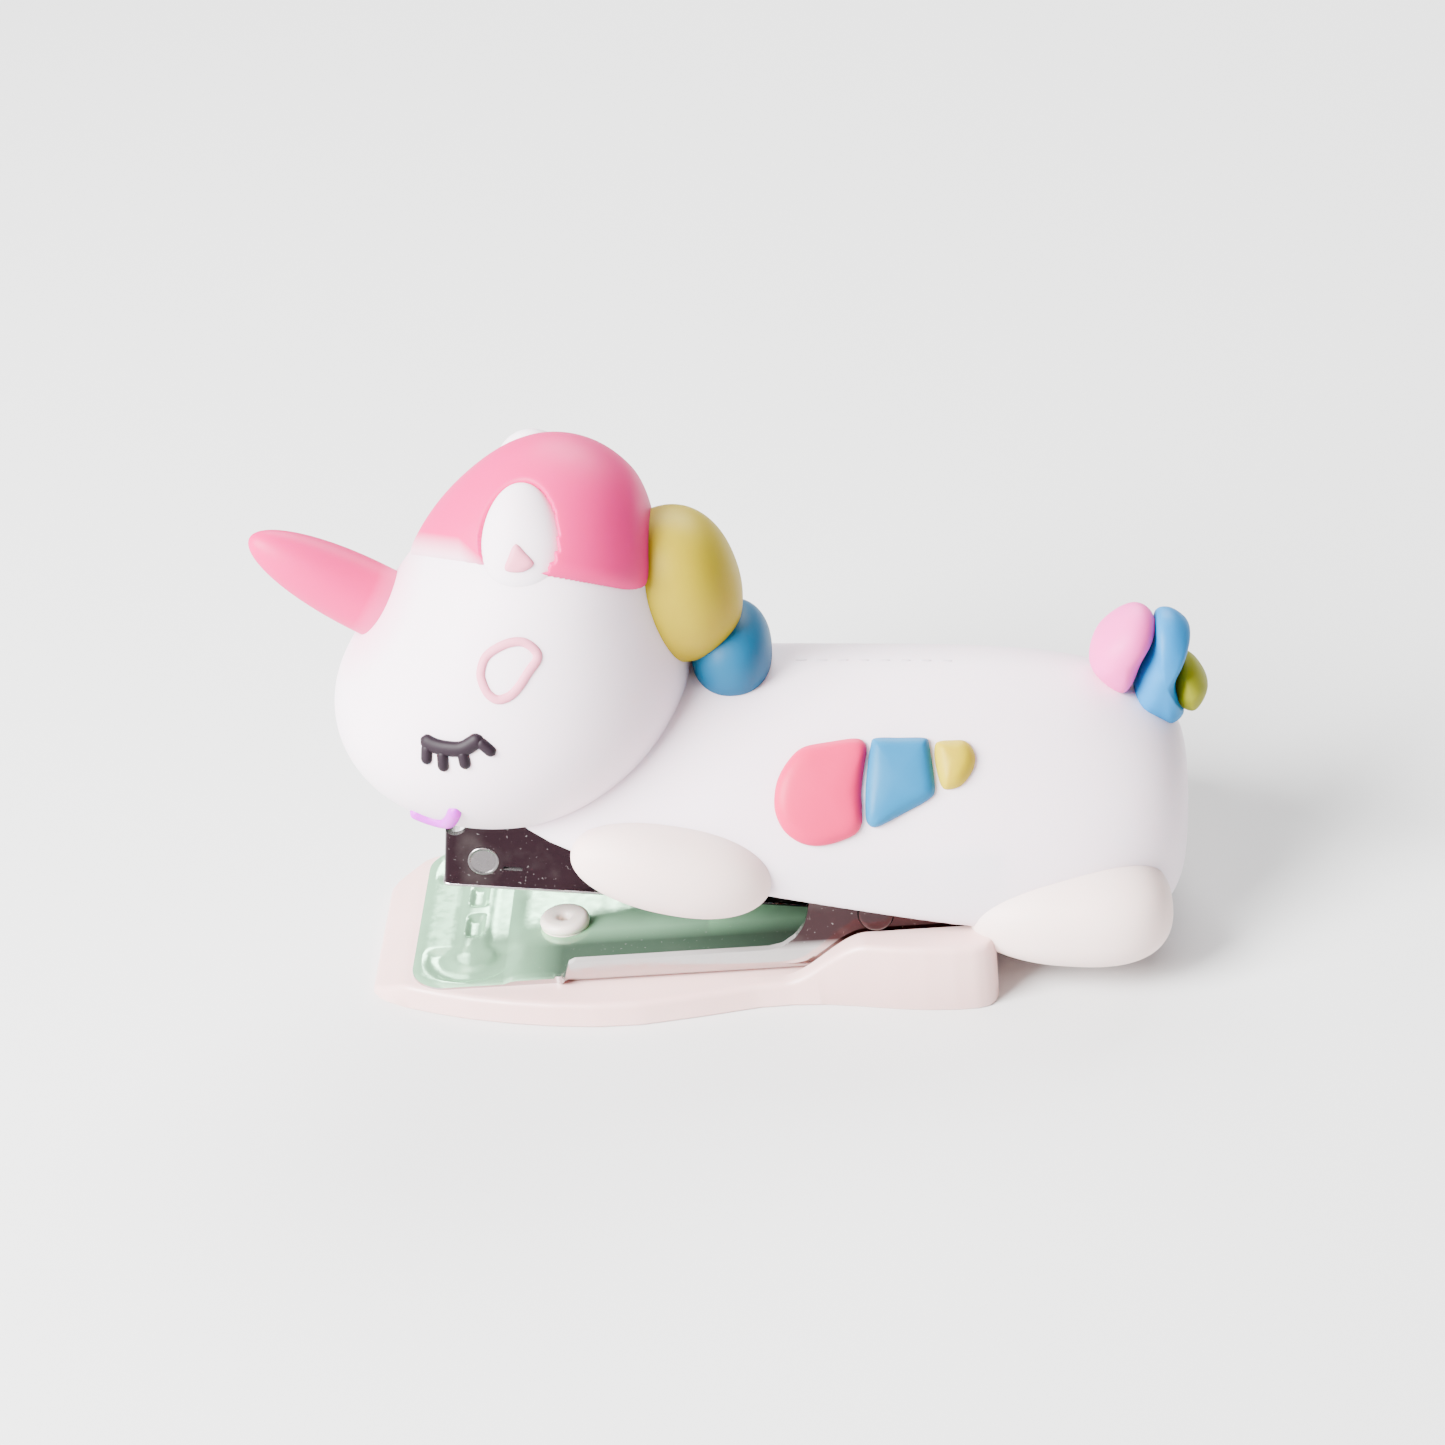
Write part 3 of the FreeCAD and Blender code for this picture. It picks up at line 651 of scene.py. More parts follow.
def fading_vinyl(name, hexa, pale_hexa, slope, beside, start, span):
    """Pink that fades out towards a rim; measured by position . slope + beside * |y|, in metres."""
    mat = soft_vinyl(name, hexa, hexa)
    nt = mat.node_tree
    place = nt.nodes.new("ShaderNodeTexCoord")
    rise = measure_by(nt, place, "DOT_PRODUCT", slope)
    spot = parts_of(nt, place.outputs["Object"])
    across = calc(nt, "ABSOLUTE", spot["Y"])
    measure = calc(nt, "MULTIPLY_ADD", across, beside, rise)
    rear = ranged(nt, spot["X"], -0.0250, -0.0165, 0.0, 0.006)
    total = calc(nt, "ADD", measure, rear)
    share = ranged(nt, total, start, start + span, 1.0, 0.0)
    return recoloured(mat, share, linear(pale_hexa))


def bounce_glow_vinyl(name, hexa, shade_hexa, glow_hexa, spot, reach):
    """White vinyl with a painted glow of another colour round a spot, given in metres, standing in for
    light bounced off a coloured part next to it.
    """
    mat = soft_vinyl(name, hexa, shade_hexa)
    nt = mat.node_tree
    place = nt.nodes.new("ShaderNodeTexCoord")
    gap = measure_by(nt, place, "DISTANCE", spot)
    share = ranged(nt, gap, reach[0], reach[1], 0.5, 0.0)
    return recoloured(mat, share, linear(glow_hexa))


# Base colours are stronger than they look, as the view transform pales them.
WHITE = "F4E4EC"
WHITE_SHADE = "EEDDE6"
MANE_PINK = "D30B6C"
MATERIALS = {
    "pvc_white": soft_vinyl("pvc_white", WHITE, WHITE_SHADE),
    "pvc_warm_white": soft_vinyl("pvc_warm_white", "EFD8D2", "E9D1CC"),
    "pvc_pale_pink": soft_vinyl("pvc_pale_pink", "F08FA6", "EA859D"),
    "pvc_plum": soft_vinyl("pvc_plum", "1A0716", "140511", 0.6, 0.0),
    "pvc_violet": soft_vinyl("pvc_violet", "CC0CD8", "C209CE", 0.4),
    "pvc_pink": soft_vinyl("pvc_pink", "DA0F5C", "D20B56"),
    "pvc_light_pink": soft_vinyl("pvc_light_pink", "F35CB4", "EC54AA"),
    "pvc_blue": soft_vinyl("pvc_blue", "006E9C", "006793"),
    "pvc_yellow": soft_vinyl("pvc_yellow", "B8A200", "B09900"),
    "foot_plastic": hard_plastic("foot_plastic", "E6BFBA", "DFB8B4"),
    "stud_plastic": hard_plastic("stud_plastic", "EBDDD4", "E4D4CB"),
    # In the steel finishes the first colour is the pale level faces and the second and third are
    # painted reflections on walls and on walls high up; chromed_steel's last number is the strength of
    # its painted reflection bands.
    "chromed_steel": steel("chromed_steel", "A4DBB0", "BDBAB9", "3B2C2E", 0.1, 0.6, 0.85),
    "dark_chrome": steel("dark_chrome", "9E9A98", "2E1F25", "2A1D22", 0.14, 0.9),
    "spring_steel": steel("spring_steel", "C4C6C4", "B4B2B0", "A8A6A4", 0.16, 1.0),
    "plain_steel": steel("plain_steel", "B4B5B8", "6E6A6C", "6E6A6C", 0.22, 1.0),
}
OWN_FINISH = {
    "mane_pink": fading_vinyl("pvc_mane_pink", MANE_PINK, WHITE,
                              (CAP_SLOPE, 0, FACING_Z), -FACING_Y, 0.0313, 0.0034),
    "horn": fading_vinyl("pvc_horn_pink", MANE_PINK, "EC6AA0",
                         (-0.824, 0, 0.567), 0.0, 0.0506, 0.0030),
    # painted pink glow on the head round the horn's root, for light bounced off the pink horn
    "head": bounce_glow_vinyl("pvc_head_white", WHITE, WHITE_SHADE, "F58FB4",
                         (-0.0345, 0, 0.0410), (0.0035, 0.0095)),
    "mane_yellow": soft_vinyl("pvc_mane_yellow", "A69200", "9D8900"),
    "mane_blue": soft_vinyl("pvc_mane_blue", "005C84", "00567B"),
    "tail_blue": soft_vinyl("pvc_tail_blue", "0078B4", "0070A8"),
    "tail_yellow": soft_vinyl("pvc_tail_yellow", "858600", "7C7D00"),
}
SLOT_OF = {row["node"]: row["material_slot"] for row in frame["record"]["subparts"]}


def add_detail(obj, slot_name, body="handle"):
    """A small feature of a node that has no node of its own."""
    obj.data.materials.clear()
    obj.data.materials.append(MATERIALS[slot_name])
    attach(obj, body)


def stand_for(obj, node, body="handle"):
    """The piece takes over a CAD node's place, body and finish."""
    obj.data.materials.clear()
    obj.data.materials.append(OWN_FINISH.get(node, MATERIALS[SLOT_OF[node]]))
    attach(obj, body)
    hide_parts(node)


def both_sides(obj, stem):
    """The near piece of the cover and its mirror image."""
    stand_for(obj, stem + "_left")
    twin = mirror_of(obj, obj.name.replace("left", "right"))
    stand_for(twin, stem + "_right")


# ---- the cover ----
def about_pin(points, degrees):
    """Points drawn level round the hinge pin, turned up to where they rest."""
    a = math.radians(degrees)
    c, s = math.cos(a), math.sin(a)
    turn = np.array([[c, 0, s], [0, 1, 0], [-s, 0, c]])
    return np.asarray(points, float) @ turn.T + np.array([PIN[0], 0, PIN[1]])


def cutter_box(name, x, y_half, z, turned_up=False):
    verts = np.array([(i, j, k) for i in x for j in (-y_half, y_half) for k in z], float)
    if turned_up:
        verts = about_pin(verts, HANDLE_ANGLE)
    faces = [(0, 1, 3, 2), (4, 6, 7, 5), (0, 4, 5, 1),
             (2, 3, 7, 6), (0, 2, 6, 4), (1, 5, 7, 3)]
    return make_object(name, verts, faces, False)


def hollow_out(obj):
    """Room inside the cover for the handle frame, magazine, ears and the foot's rear rim."""
    cutters = [cutter_box("tunnel", (-45.3, 8.6), 8.45, (-14, 5.02), True),
               cutter_box("well", (6.0, 27.2), 15.45, (-5, 15.9)),
               cutter_box("rim_room", (20.0, 27.2), 19.6, (-5, 7.55))]
    for cutter in cutters:
        cut = obj.modifiers.new(cutter.name, "BOOLEAN")
        cut.operation = "DIFFERENCE"
        cut.solver = "EXACT"
        cut.object = cutter
    bpy.context.view_layer.update()
    ready = obj.evaluated_get(bpy.context.evaluated_depsgraph_get())
    mesh = bpy.data.meshes.new_from_object(ready)
    obj.modifiers.clear()
    obj.data = mesh
    for cutter in cutters:
        bpy.data.objects.remove(cutter)
    crease(obj, 50)
    return obj


def make_horn():
    """Half an ellipse turned about the horn's axis, on a short straight root."""
    axis = Vector(HORN_TIP) - Vector(HORN_ROOT)
    taper = axis.length - HORN_WAIST
    turns = np.radians(np.linspace(0, 89.5, 26))
    side = [(HORN_RADIUS, 0.0)]
    side += [(HORN_RADIUS * math.cos(a), HORN_WAIST + taper * math.sin(a)) for a in turns]
    stand_for(lathe("horn_cone", side, HORN_ROOT, axis, 56), "horn")


def make_trunk():
    stand_for(hollow_out(blob("body_skin", body_field, (11.5, 0, 18.5), 72)), "body_shell")
    stand_for(hollow_out(blob("head_skin", head_field, (-18.4, 0, 36), 64)), "head")
    both_sides(blob("ear_dome_left", ear_field, EAR_CENTRE, 28), "ear")
    stand_for(blob("mane_cap", cap_field, (-15.5, 0, 46), 108), "mane_pink")
    make_horn()


def over_flange(p):
    """Negative where a front leg would meet the base plate's flange at the end of the stroke."""
    a = math.radians(FULL_STROKE)
    x, z = p[..., 0] - PIN[0], p[..., 2] - PIN[1]
    level = z * math.cos(a) + x * math.sin(a)
    return np.maximum(level - (FLANGE_TOP + 0.3 - PIN[1]), np.abs(p[..., 1]) - 14.7)


def front_leg_field(p):
    whole = boxy(p, (-5.3, -15.0, 16.7), (10.2, 4.8, 4.6), 14, 2.2, 0.1)
    return meet(whole, -over_flange(p), 0.4)


def hind_leg_field(p):
    return boxy(p, (34.0, -13.8, 7.7), (10.2, 5.8, 5.0), -1, 2.4, 0.22)


def make_legs():
    both_sides(blob("front_leg_skin_left", front_leg_field, (-5.3, -16.0, 17.5), 40), "front_leg")
    both_sides(blob("hind_leg_skin_left", hind_leg_field, (34.0, -13.8, 7.7), 32), "hind_leg")


def make_mane():
    """Two boxy curls behind the cap: colour, centre, half sizes and tilt."""
    curls = (("yellow", (-3.0, 0, 40.6), (6.2, 7.2, 7.9), -14),
             ("blue", (1.7, 0, 32.7), (4.1, 6.0, 4.7), 0))
    for colour, centre, radii, tilt in curls:
        curl = blob("mane_" + colour + "_curl", lambda p: boxy(p, centre, radii, tilt), centre)
        stand_for(curl, "mane_" + colour)


def make_tail():
    """Three curls, each an outline in the middle plane swollen to both sides."""
    pink = [(37.5, 28.8), (38.3, 31.6), (40.5, 33.6), (42.6, 34.3), (44.0, 33.4),
            (44.1, 31.6), (42.8, 29.0), (41.6, 26.2), (40.4, 25.3), (38.5, 26.8)]
    blue = [(44.4, 33.3), (46.0, 33.5), (47.6, 32.0), (47.4, 30.2), (46.4, 28.0),
            (46.0, 26.4), (46.3, 24.3), (46.8, 22.6), (45.6, 21.4), (44.2, 22.0),
            (42.2, 23.3), (41.8, 25.3), (42.4, 28.0), (43.8, 30.8)]
    yellow = [(46.8, 28.7), (48.3, 27.7), (49.3, 25.2), (48.0, 22.7), (46.4, 23.1),
              (45.6, 24.6), (46.0, 27.0)]
    stand_for(pillow("tail_pink_curl", pink, 4.4, 2.2), "tail_pink")
    stand_for(pillow("tail_blue_curl", blue, 4.6, 2.6), "tail_blue")
    stand_for(pillow("tail_yellow_drop", yellow, 3.4, 2.0), "tail_yellow")


def make_wings():
    """Three pads on each flank, outlines in the facing plane; the far ones sit lower."""
    pink = [(5.4, 13.1), (5.9, 15.1), (7.1, 16.9), (8.6, 18.0), (11.3, 18.35), (13.7, 18.5),
            (14.6, 18.1), (14.8, 17.2), (14.4, 15.3), (14.05, 13.2), (14.0, 11.5), (13.8, 9.9),
            (12.8, 8.9), (10.0, 8.2), (7.9, 8.5), (6.3, 9.7), (5.5, 11.4)]
    blue = [(15.7, 18.4), (18.0, 18.3), (20.6, 18.1), (21.0, 17.5), (21.2, 15.4), (21.3, 13.1),
            (20.7, 12.1), (18.0, 10.8), (15.6, 9.75), (14.7, 9.8), (14.3, 10.8), (14.55, 14.2),
            (15.2, 17.7)]
    yellow = [(21.9, 17.65), (23.2, 17.7), (24.6, 17.5), (25.4, 16.3), (25.2, 14.8),
              (24.0, 13.3), (22.6, 12.9), (21.9, 13.4), (21.5, 15.5), (21.5, 17.1)]
    height, edge, crown = 1.0, 1.3, 0.35
    for colour, outline in (("pink", pink), ("blue", blue), ("yellow", yellow)):
        node = "wing_" + colour
        near = pad(node + "_pad_left", outline, body_field, height, edge, crown)
        stand_for(near, node + "_left")
        lower = [(x, v - FAR_WING_DROP) for x, v in outline]
        drawn = pad(node + "_pad_drawn", lower, body_field, height, edge, crown)
        stand_for(mirror_of(drawn, node + "_pad_right"), node + "_right")
        bpy.data.objects.remove(drawn)


def make_lashes():
    """A closed eye: a sagging lid line with four lashes under it."""
    lid = [(-28.2, 21.4), (-26.9, 20.6), (-25.5, 20.2), (-24.1, 20.1), (-22.9, 20.6), (-22.0, 21.2)]
    line, width = tapered(lid, 28, 0.8)
    parts = [tube("bar", line, head_field, width, width * 0.7, False)]
    for root, tip in (((-27.6, 20.9), (-27.9, 18.8)), ((-26.1, 20.2), (-26.2, 18.0)),
                      ((-24.1, 20.1), (-23.9, 18.1)), ((-22.5, 20.9), (-20.9, 19.3))):
        middle = ((root[0] + tip[0]) / 2, (root[1] + tip[1]) / 2)
        line, width = tapered([root, middle, tip], 16, 0.6)
        parts.append(tube("lash", line, head_field, width, width * 0.9, False))
    both_sides(merged("eyelash_bead_left", parts), "eyelash")


def drop_onto(field, p):
    """Points near a field moved straight onto it."""
    for _ in range(30):
        p = p - normals(field, p) * field(p)[:, None]
    return p


def make_mouth():
    """A smile on the underside of the muzzle."""
    smile = [(-31.0, -11.9, 23.4), (-30.0, -12.1, 22.7), (-28.6, -12.6, 22.2), (-27.4, -13.4, 22.5),
             (-26.5, -15.0, 24.0), (-25.7, -16.5, 26.0)]
    line, width = tapered(smile, 30, 0.72)
    p = drop_onto(head_field, line)
    both_sides(bead("mouth_bead_left", p, normals(head_field, p), width, width * 0.9, False), "mouth")


def make_mould_line():
    """Dashes where the two halves of the cover's mould met, along the back."""
    parts = []
    for start in np.arange(8.0, 24.5, 2.1):
        dash = [(start + step, 0, 31) for step in (0, 0.6, 1.2)]
        line, width = tapered(dash, 8, 0.14)
        p = drop_onto(body_field, line)
        parts.append(bead("dash", p, normals(body_field, p), width, width * 0.6, False, 8))
    add_detail(merged("mould_line", parts), "pvc_white")


def make_face():
    """Cheek outline and ear patch in the facing plane, then the eye, mouth and mould line."""
    cheek = [(-21.6, 27.4), (-20.9, 28.9), (-19.0, 29.9), (-17.3, 30.0), (-16.2, 29.2),
             (-16.0, 28.3), (-17.0, 27.0), (-17.9, 25.8), (-18.9, 24.9), (-20.1, 24.6),
             (-21.0, 25.2), (-21.5, 26.3)]
    ring = tube("cheek_bead_left", soft_loop(cheek, 80), head_field, 0.45, 0.3, True)
    both_sides(ring, "cheek_mark")
    make_lashes()
    patch = [(-18.4, 37.0), (-18.0, 38.2), (-17.2, 39.4),
             (-16.3, 38.5), (-15.6, 37.4), (-16.8, 36.7)]
    both_sides(pad("ear_patch_left", patch, ear_field, 0.35, 0.7), "ear_inner")
    make_mouth()
    make_mould_line()


# ---- the metal and the foot ----
def half_width(x):
    """Half width of the plastic foot: narrow front, belly, waist, square rear."""
    stations = [FOOT_FRONT, -37.4, -36.6, -34.4, -31.0, -27.5, -23.2, -19.0, -14.5, -10.0, -4.0,
                2.0, 5.5, 9.0, 12.5, 16.0, 19.0, 22.0, 24.2, 25.4, 26.0, FOOT_REAR]
    widths = [9.4, 10.6, 11.3, 12.6, 14.1, 15.4, 16.6, 17.5, 18.1, 18.2, 17.4,
              16.4, 16.3, 16.6, 17.3, 18.1, 18.6, 18.85, 18.8, 18.4, 17.6, 16.6]
    return np.interp(x, stations, widths)


def foot_top(x):
    """Height of the foot: sloped nose, thin floor, a soft step up to the rear rim."""
    nose = np.interp(x, [FOOT_FRONT, -38.0, -37.4, -34.6, -34.0], [0.5, 0.9, 1.25, 2.5, FLOOR_TOP])
    rise = np.clip((x - 4.5) / 9.0, 0, 1)
    step = (RIM_TOP - FLOOR_TOP) * rise * rise * (3 - 2 * rise)
    past = np.maximum(x - (FOOT_REAR - FOOT_ROUND), 0)
    rear = FOOT_ROUND - np.sqrt(np.maximum(FOOT_ROUND ** 2 - past ** 2, 0))
    return nose + step - rear


def foot_section(x, in_well):
    """Cross-section of the foot from its near bottom edge over the top to the far one."""
    w = float(half_width(x))
    top = float(foot_top(x))
    round_r = min(FOOT_ROUND, 0.45 * top)
    inner = min(WELL_HALF, w - 0.3 - round_r - 0.05)
    floor = min(FLOOR_TOP, top) if in_well else top
    side = [(w - 0.15, 0.0), (w, 0.2), (w - 0.2, top - round_r)]
    side += [(w - 0.2 - round_r + round_r * math.cos(a), top - round_r + round_r * math.sin(a))
             for a in np.radians((18, 36, 54, 72, 90))]
    side += [(inner + 0.02, top), (inner, top - 0.05 if in_well else top), (inner, floor)]
    side += [(inner * share, floor) for share in (0.75, 0.5, 0.25)]
    far = [(-y, z) for y, z in reversed(side)]
    return [(x, -y, z) for y, z in side] + [(x, 0.0, floor)] + [(x, -y, z) for y, z in far]


def make_foot():
    front = [FOOT_FRONT, -38.1, -38.0, -37.8, -37.4, -37.0, -36.6]
    xs = front + list(np.arange(-36.0, -0.01, 0.75)) + [0.0]
    well = [0.0] + list(np.arange(0.5, 24.5, 0.4)) + [24.5]
    rear = [24.5, 24.9, 25.3, 25.6, 25.8, 25.95, 26.1, 26.2, 26.27, FOOT_REAR]
    stations = [(x, False) for x in xs] + [(x, True) for x in well] + [(x, False) for x in rear]
    rows = [foot_section(x, deep) for x, deep in stations]
    n = len(rows[0])
    verts = [p for row in rows for p in row]
    faces = ring_faces(len(rows), n)
    last = (len(rows) - 1) * n
    faces.append(tuple(range(n)))
    faces.append(tuple(reversed(range(last, last + n))))
    foot = make_object("foot_moulding", verts, [f[::-1] for f in faces])
    crease(foot, 40)
    stand_for(foot, "base_foot", "base")


def flange_height(x):
    """Height of the sheet's edge above the foot's floor where it is turned up."""
    stations = [-18.4, -17.0, -16.4, 3.4, 4.8, 6.2, 7.2, 7.8,
                8.0, 8.4, 9.2, 10.2, 22.0, 23.0, 23.7, PLATE_REAR]
    heights = [0.8, 2.6, 2.9, 2.9, 3.2, 4.2, 5.6, 7.6,
               8.8, 9.8, 10.4, 10.6, 10.6, 10.3, 9.6, 8.8]
    return float(np.interp(x, stations, heights))


def plate_row(x, columns):
    """Outer path and inward normals across the plate at one X."""
    bend_start = PLATE_HALF - BEND
    flat_edge = PLATE_EDGE
    short = PLATE_CORNER - (x - PLATE_FRONT)
    if short > 0:
        flat_edge += math.sqrt(max(PLATE_CORNER ** 2 - short ** 2, 0)) - PLATE_CORNER
    fold = min(max((x - FOLD_START) / 1.6, 0), 1)
    fold = fold * fold * (3 - 2 * fold)
    height = flange_height(x)
    arc_length = BEND * math.pi / 2
    full = bend_start + arc_length + max(height - BEND, 0)
    reach = flat_edge + (full - flat_edge) * fold
    path = []
    for t in columns:
        s = abs(t) * reach
        angle = min(max(s - bend_start, 0) / arc_length, 1) * fold * math.pi / 2
        if s <= bend_start or fold == 0:
            y, z = s, 0.0
        else:
            radius = BEND / fold
            y = bend_start + radius * math.sin(angle)
            z = radius * (1 - math.cos(angle))
            rest = max(s - bend_start - arc_length, 0)
            y += rest * math.cos(angle)
            z += rest * math.sin(angle)
        side = 1 if t > 0 else -1
        path.append(((x, side * y, FLOOR_TOP + z), (0, -side * math.sin(angle), math.cos(angle))))
    return path


def pressed(x, y):
    """How far the plate's top is pressed down round the anvil, whose boss stays level with it."""
    dx = x - ANVIL_X
    dy = abs(y)
    sunk = min(max((ANVIL_REAR - x) / 0.5, 0), 1)
    boss = math.exp(-(dx / 1.55) ** 6) * math.exp(-(dy / 7.2) ** 12)
    pocket = math.exp(-(dx / 0.85) ** 6) * math.exp(-((dy - 2.9) / 1.9) ** 8)
    ring = math.hypot(dx, dy - 8.0)
    moat = math.exp(-((ring - 3.5) / 1.2) ** 4) * min(max((dy - 6.2) / 1.2, 0), 1)
    ground = (GROUND_DEPTH * sunk + MOAT_DEPTH * moat) * (1 - boss)
    return -min(ground + POCKET_DEPTH * pocket, DEEPEST)


def rolled(x, y, flat_edge):
    """The free edges of the plate turn down a little."""
    from_edge = min(flat_edge - abs(y), x - PLATE_FRONT)
    away = 1 - min(max(from_edge / 1.1, 0), 1)
    return -0.25 * away * away if x < FOLD_START else 0.0


def plate_stations():
    """X of every row of the plate, closer together where its shape changes."""
    turn = np.linspace(0.12, math.pi / 2, 12)
    xs = [PLATE_FRONT] + [PLATE_FRONT + PLATE_CORNER * (1 - math.cos(a)) for a in turn]
    for start, end, step in ((-29.5, -24.0, 0.22), (-24.0, -19.0, 0.7), (-18.8, -16.2, 0.2),
                             (-16.0, 3.2, 1.2), (3.4, 8.0, 0.3)):
        xs += list(np.arange(start, end, step))
    xs += [8.0, 8.15, 8.3, 8.6, 9.0, 9.5, 10.2] + list(np.arange(11.0, 22.1, 1.0))
    return xs + [22.6, 23.0, 23.4, 23.7, 23.9, PLATE_REAR]


def make_plate():
    """The pressed sheet: an underside, a top one sheet above it, and the rim between them."""
    columns = [*np.linspace(-1, -0.86, 14), *np.linspace(-0.84, 0.84, 119), *np.linspace(0.86, 1, 14)]
    xs = plate_stations()
    n = len(columns)
    outer = []
    inner = []
    for x in xs:
        row = plate_row(x, columns)
        flat_edge = row[-1][0][1]
        for point, normal in row:
            depth = 0.0
            if point[2] < FLOOR_TOP + 0.01:
                depth = pressed(point[0], point[1]) + rolled(point[0], point[1], flat_edge)
            outer.append(point)
            top = np.array(point) + np.array(normal) * SHEET
            inner.append((top[0], top[1], top[2] + depth))
    rows = len(xs)
    faces = []
    for i in range(rows - 1):
        for j in range(n - 1):
            a = i * n + j
            quad = (a, a + 1, a + n + 1, a + n)
            faces.append(quad)
            faces.append(tuple(rows * n + k for k in reversed(quad)))
    rim = list(range(n)) + [i * n + n - 1 for i in range(1, rows)]
    rim += [(rows - 1) * n + j for j in range(n - 2, -1, -1)]
    rim += [i * n for i in range(rows - 2, 0, -1)]
    for a, b in zip(rim, rim[1:] + rim[:1]):
        faces.append((a, a + rows * n, b + rows * n, b))
    plate = make_object("plate_pressing", outer + inner, [f[::-1] for f in faces])
    crease(plate, 35)
    stand_for(plate, "anvil_plate", "base")


def make_stud():
    """The plastic rivet's round head with a dished middle."""
    top = FLOOR_TOP + SHEET
    profile = [(1.2, -2.0), (1.2, 0.0), (2.5, 0.0)] + arc(0.62, 1.98, 0.5, -50, 90, 10)
    profile += [(1.4, 1.1), (0.95, 1.02), (0.68, 0.85), (0.6, 0.6), (0.58, 0.1), (0.3, 0.08)]
    stud = lathe("stud_head", profile, (STUD[0], STUD[1], top), (0, 0, 1), 48)
    crease(stud, 45)
    stand_for(stud, "plate_stud", "base")


def make_pin():
    """The hinge pin, with a domed head outside each ear."""
    half = PLATE_HALF + 0.05
    dome = arc(0.85, 1.05, half + 0.05, 0, 90, 8)
    side = [(1.5, 0.0), (1.5, half), (1.9, half)] + dome + [(0.5, half + 0.93), (0.1, half + 0.95)]
    profile = [(r, -h) for r, h in reversed(side)] + side[1:]
    pin = lathe("pin_turned", profile, (PIN[0], 0, PIN[1]), (0, 1, 0), 40)
    crease(pin, 45)
    stand_for(pin, "hinge_pin", "base")


def make_magazine_edge():
    """The folded lower edge of the magazine and the dimple in each side."""
    near_half = [(5.5, -MAG_HALF), (-20, -MAG_HALF), (NOSE + 0.6, -MAG_HALF),
                 (NOSE + 0.17, -MAG_HALF + 0.17), (NOSE, -MAG_HALF + 0.6)]
    path = near_half + [(NOSE, 0)] + [(x, -y) for x, y in reversed(near_half)]
    level = np.array([(x, y, MAG_BOTTOM + 0.12) for x, y in path])
    outward = np.array([(-1.0 if x < NOSE + 0.3 else 0, np.sign(y) if x > NOSE + 0.01 else 0, 0)
                        for x, y in path])
    outward /= np.linalg.norm(outward, axis=1, keepdims=True)
    pin = np.array([PIN[0], 0, PIN[1]])
    p = about_pin(level, MAG_ANGLE)
    edge = bead("magazine_edge", p, about_pin(outward, MAG_ANGLE) - pin, 0.16, 0.12, False, 10)
    add_detail(edge, "spring_steel", "magazine")
    dish = [(1.62, -0.02), (1.6, 0.06), (1.5, 0.1), (1.4, 0.04)]
    dish += [(r, -0.42 * (1 - (r / 1.4) ** 2) + 0.04) for r in (1.3, 1.1, 0.9, 0.7, 0.5, 0.3, 0.05)]
    for side, name in ((-1, "left"), (1, "right")):
        spot = about_pin([(-40.0, side * MAG_HALF, -1.1)], MAG_ANGLE)[0]
        dimple = lathe("magazine_dimple_" + name, dish, tuple(spot), (0, side, 0), 36)
        crease(dimple, 60)
        add_detail(dimple, "plain_steel", "magazine")


def make_coil():
    """The pusher's spring, a coil round the pusher's rod."""
    turns = np.linspace(0, 2 * math.pi * COIL_TURNS, COIL_TURNS * 22)
    along = np.linspace(COIL_FRONT, COIL_REAR, len(turns))
    out = np.stack([np.zeros_like(turns), np.cos(turns), np.sin(turns)], -1)
    axis = np.stack([along, np.zeros_like(along), np.full_like(along, ROD_HEIGHT)], -1)
    level = out * COIL_RADIUS + axis
    pin = np.array([PIN[0], 0, PIN[1]])
    p = about_pin(level, MAG_ANGLE)
    coil = bead("pusher_coil", p, about_pin(out, MAG_ANGLE) - pin, 0.25, 0.25, False, 8)
    coil.data.materials.append(MATERIALS["spring_steel"])
    ends = (about_pin([(x, 0, ROD_HEIGHT)], MAG_ANGLE)[0] for x in (COIL_REAR, COIL_FRONT))
    rear, front = (tuple((end - np.array([MIDDLE, 0, 0])) * MM) for end in ends)
    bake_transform(coil)
    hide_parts("pusher_spring")


def soften_metal():
    """The plain bent parts get small rounded edges."""
    for node in ("magazine", "handle_frame", "driver_blade", "staple_pusher",
                 "lift_spring", "handle_spring"):
        obj = frame["nodes"][node]
        bevel = obj.modifiers.new("rounded_edges", "BEVEL")
        bevel.width = 0.12 * MM
        bevel.segments = 2
        bevel.limit_method = "ANGLE"
        bevel.angle_limit = math.radians(40)


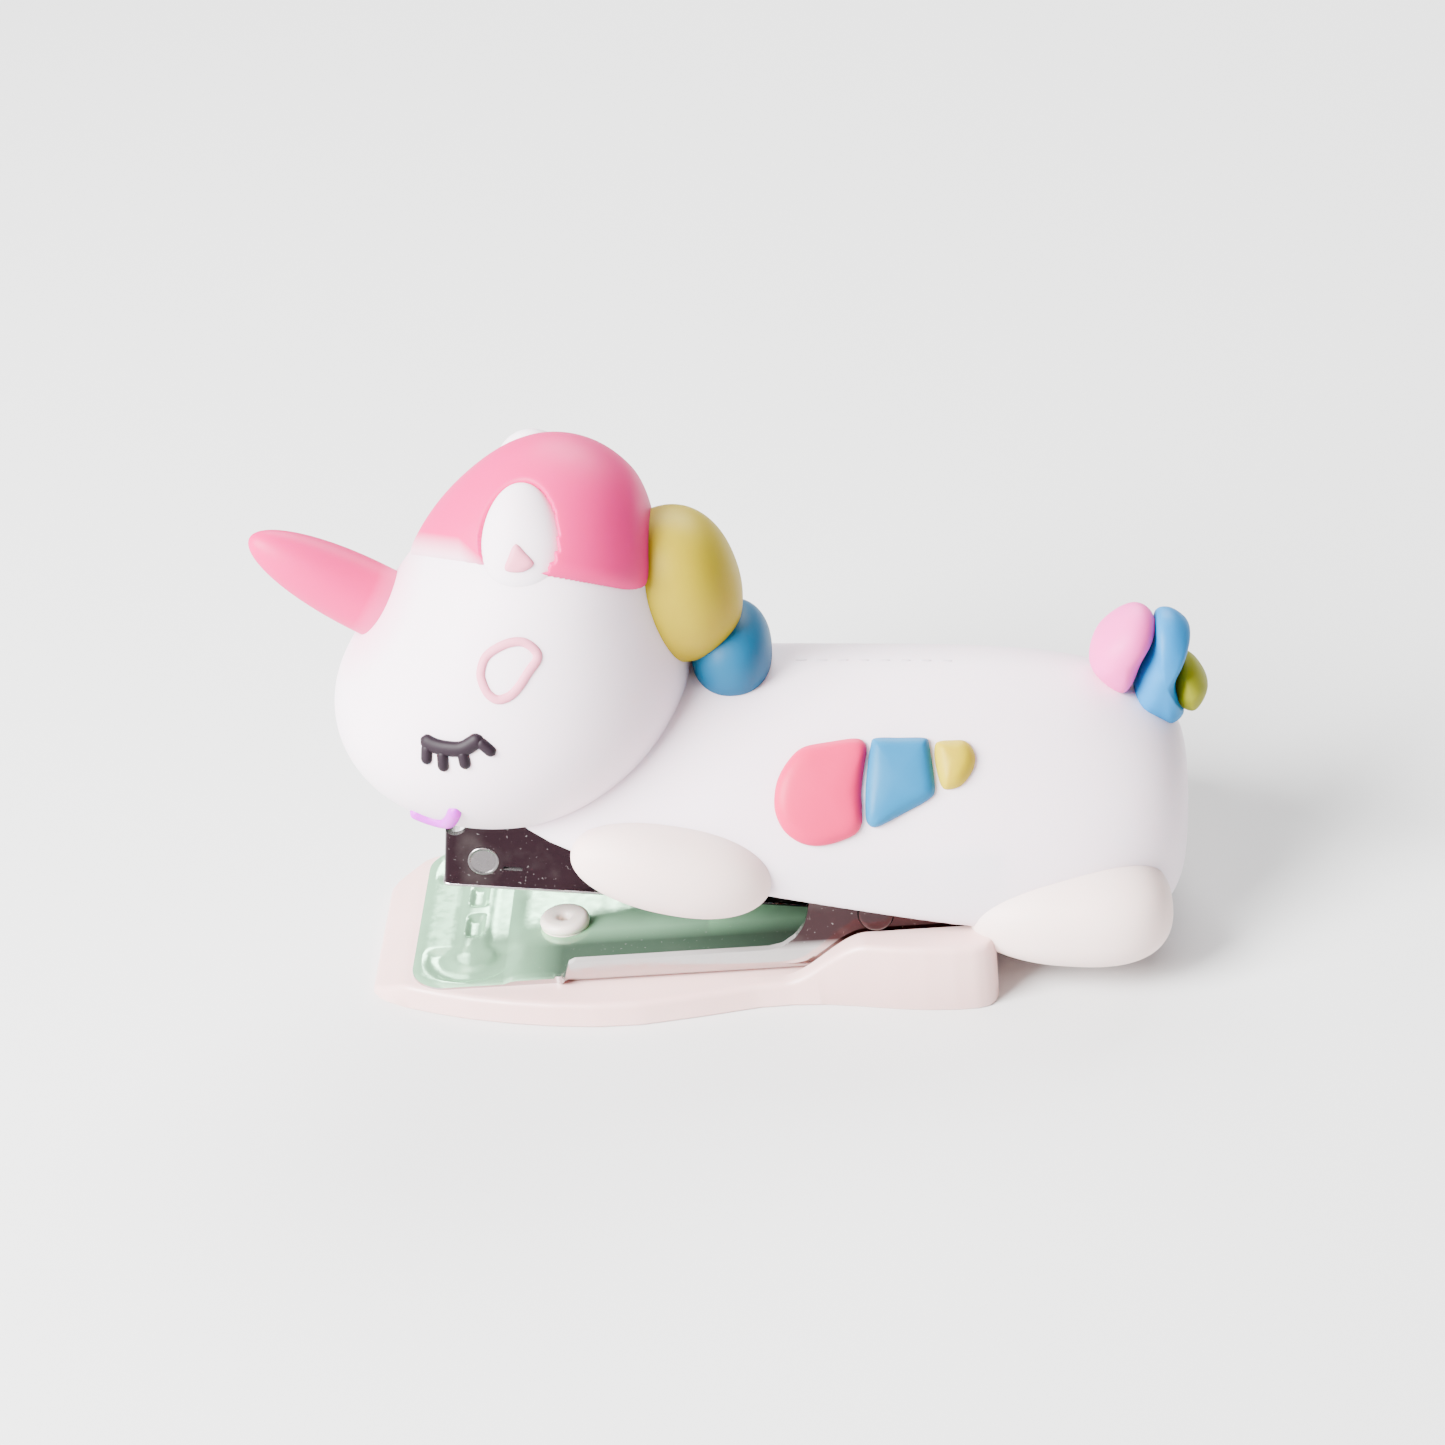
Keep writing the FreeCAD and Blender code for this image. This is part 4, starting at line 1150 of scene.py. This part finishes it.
# ---- light, floor and camera ----
def make_stage():
    """A plain pale floor and an even sky."""
    size = 3.0
    mesh = bpy.data.meshes.new("floor")
    corners = [(-size, -size, 0), (size, -size, 0), (size, size, 0), (-size, size, 0)]
    mesh.from_pydata(corners, [], [(0, 1, 2, 3)])
    floor = bpy.data.objects.new("floor", mesh)
    bpy.context.scene.collection.objects.link(floor)
    mat = bpy.data.materials.new("floor_white")
    mat.use_nodes = True
    shader = mat.node_tree.nodes["Principled BSDF"]
    shader.inputs["Base Color"].default_value = (0.66, 0.66, 0.655, 1)
    shader.inputs["Roughness"].default_value = 0.9
    mesh.materials.append(mat)
    floor.location.z = -0.00002
    world = bpy.data.worlds.new("studio")
    bpy.context.scene.world = world
    world.use_nodes = True
    sky = world.node_tree.nodes["Background"]
    sky.inputs["Color"].default_value = (0.97, 0.98, 1.0, 1)
    sky.inputs["Strength"].default_value = 0.5


def area_light(name, spot, aim, size, power):
    """A soft lamp; places and sizes in metres, power in watts."""
    data = bpy.data.lights.new(name, "AREA")
    data.shape = "RECTANGLE"
    data.size, data.size_y = size
    data.energy = power
    lamp = bpy.data.objects.new(name, data)
    lamp.location = spot
    lamp.rotation_euler = (Vector(aim) - Vector(spot)).to_track_quat("-Z", "Y").to_euler()
    bpy.context.scene.collection.objects.link(lamp)


def make_camera():
    a, e, roll = (math.radians(x) for x in (CAMERA_TURN, CAMERA_HEIGHT, CAMERA_ROLL))
    back = Vector((math.sin(a) * math.cos(e), -math.cos(a) * math.cos(e), math.sin(e)))
    right = Vector((math.cos(a), math.sin(a), 0))
    up = back.cross(right)
    x_axis = right * math.cos(roll) - up * math.sin(roll)
    y_axis = right * math.sin(roll) + up * math.cos(roll)
    data = bpy.data.cameras.new("photo_camera")
    data.sensor_width = SENSOR
    data.lens = SENSOR * CAMERA_REACH / VIEW_WIDTH
    data.clip_start, data.clip_end = 0.01, 10
    cam = bpy.data.objects.new("photo_camera", data)
    aim = Vector(CAMERA_AIM) - Vector((MIDDLE, 0, 0))
    turn = Matrix((x_axis, y_axis, back)).transposed().to_4x4()
    cam.matrix_world = Matrix.Translation((aim + back * CAMERA_REACH) * MM) @ turn
    bpy.context.scene.collection.objects.link(cam)
    bpy.context.scene.camera = cam


for node, obj in frame["nodes"].items():
    obj.data.materials.clear()
    obj.data.materials.append(MATERIALS[SLOT_OF[node]])
make_trunk()
make_legs()
make_mane()
make_tail()
make_wings()
make_face()
make_foot()
make_plate()
make_stud()
make_pin()
make_magazine_edge()
make_coil()
soften_metal()
make_stage()
area_light("key", (-0.47, -0.33, 0.44), (0, 0, 0.03), (0.42, 0.42), 38.0)
area_light("back", (0.1, 0.5, 0.5), (0, 0, 0.03), (0.5, 0.3), 9.0)
make_camera()
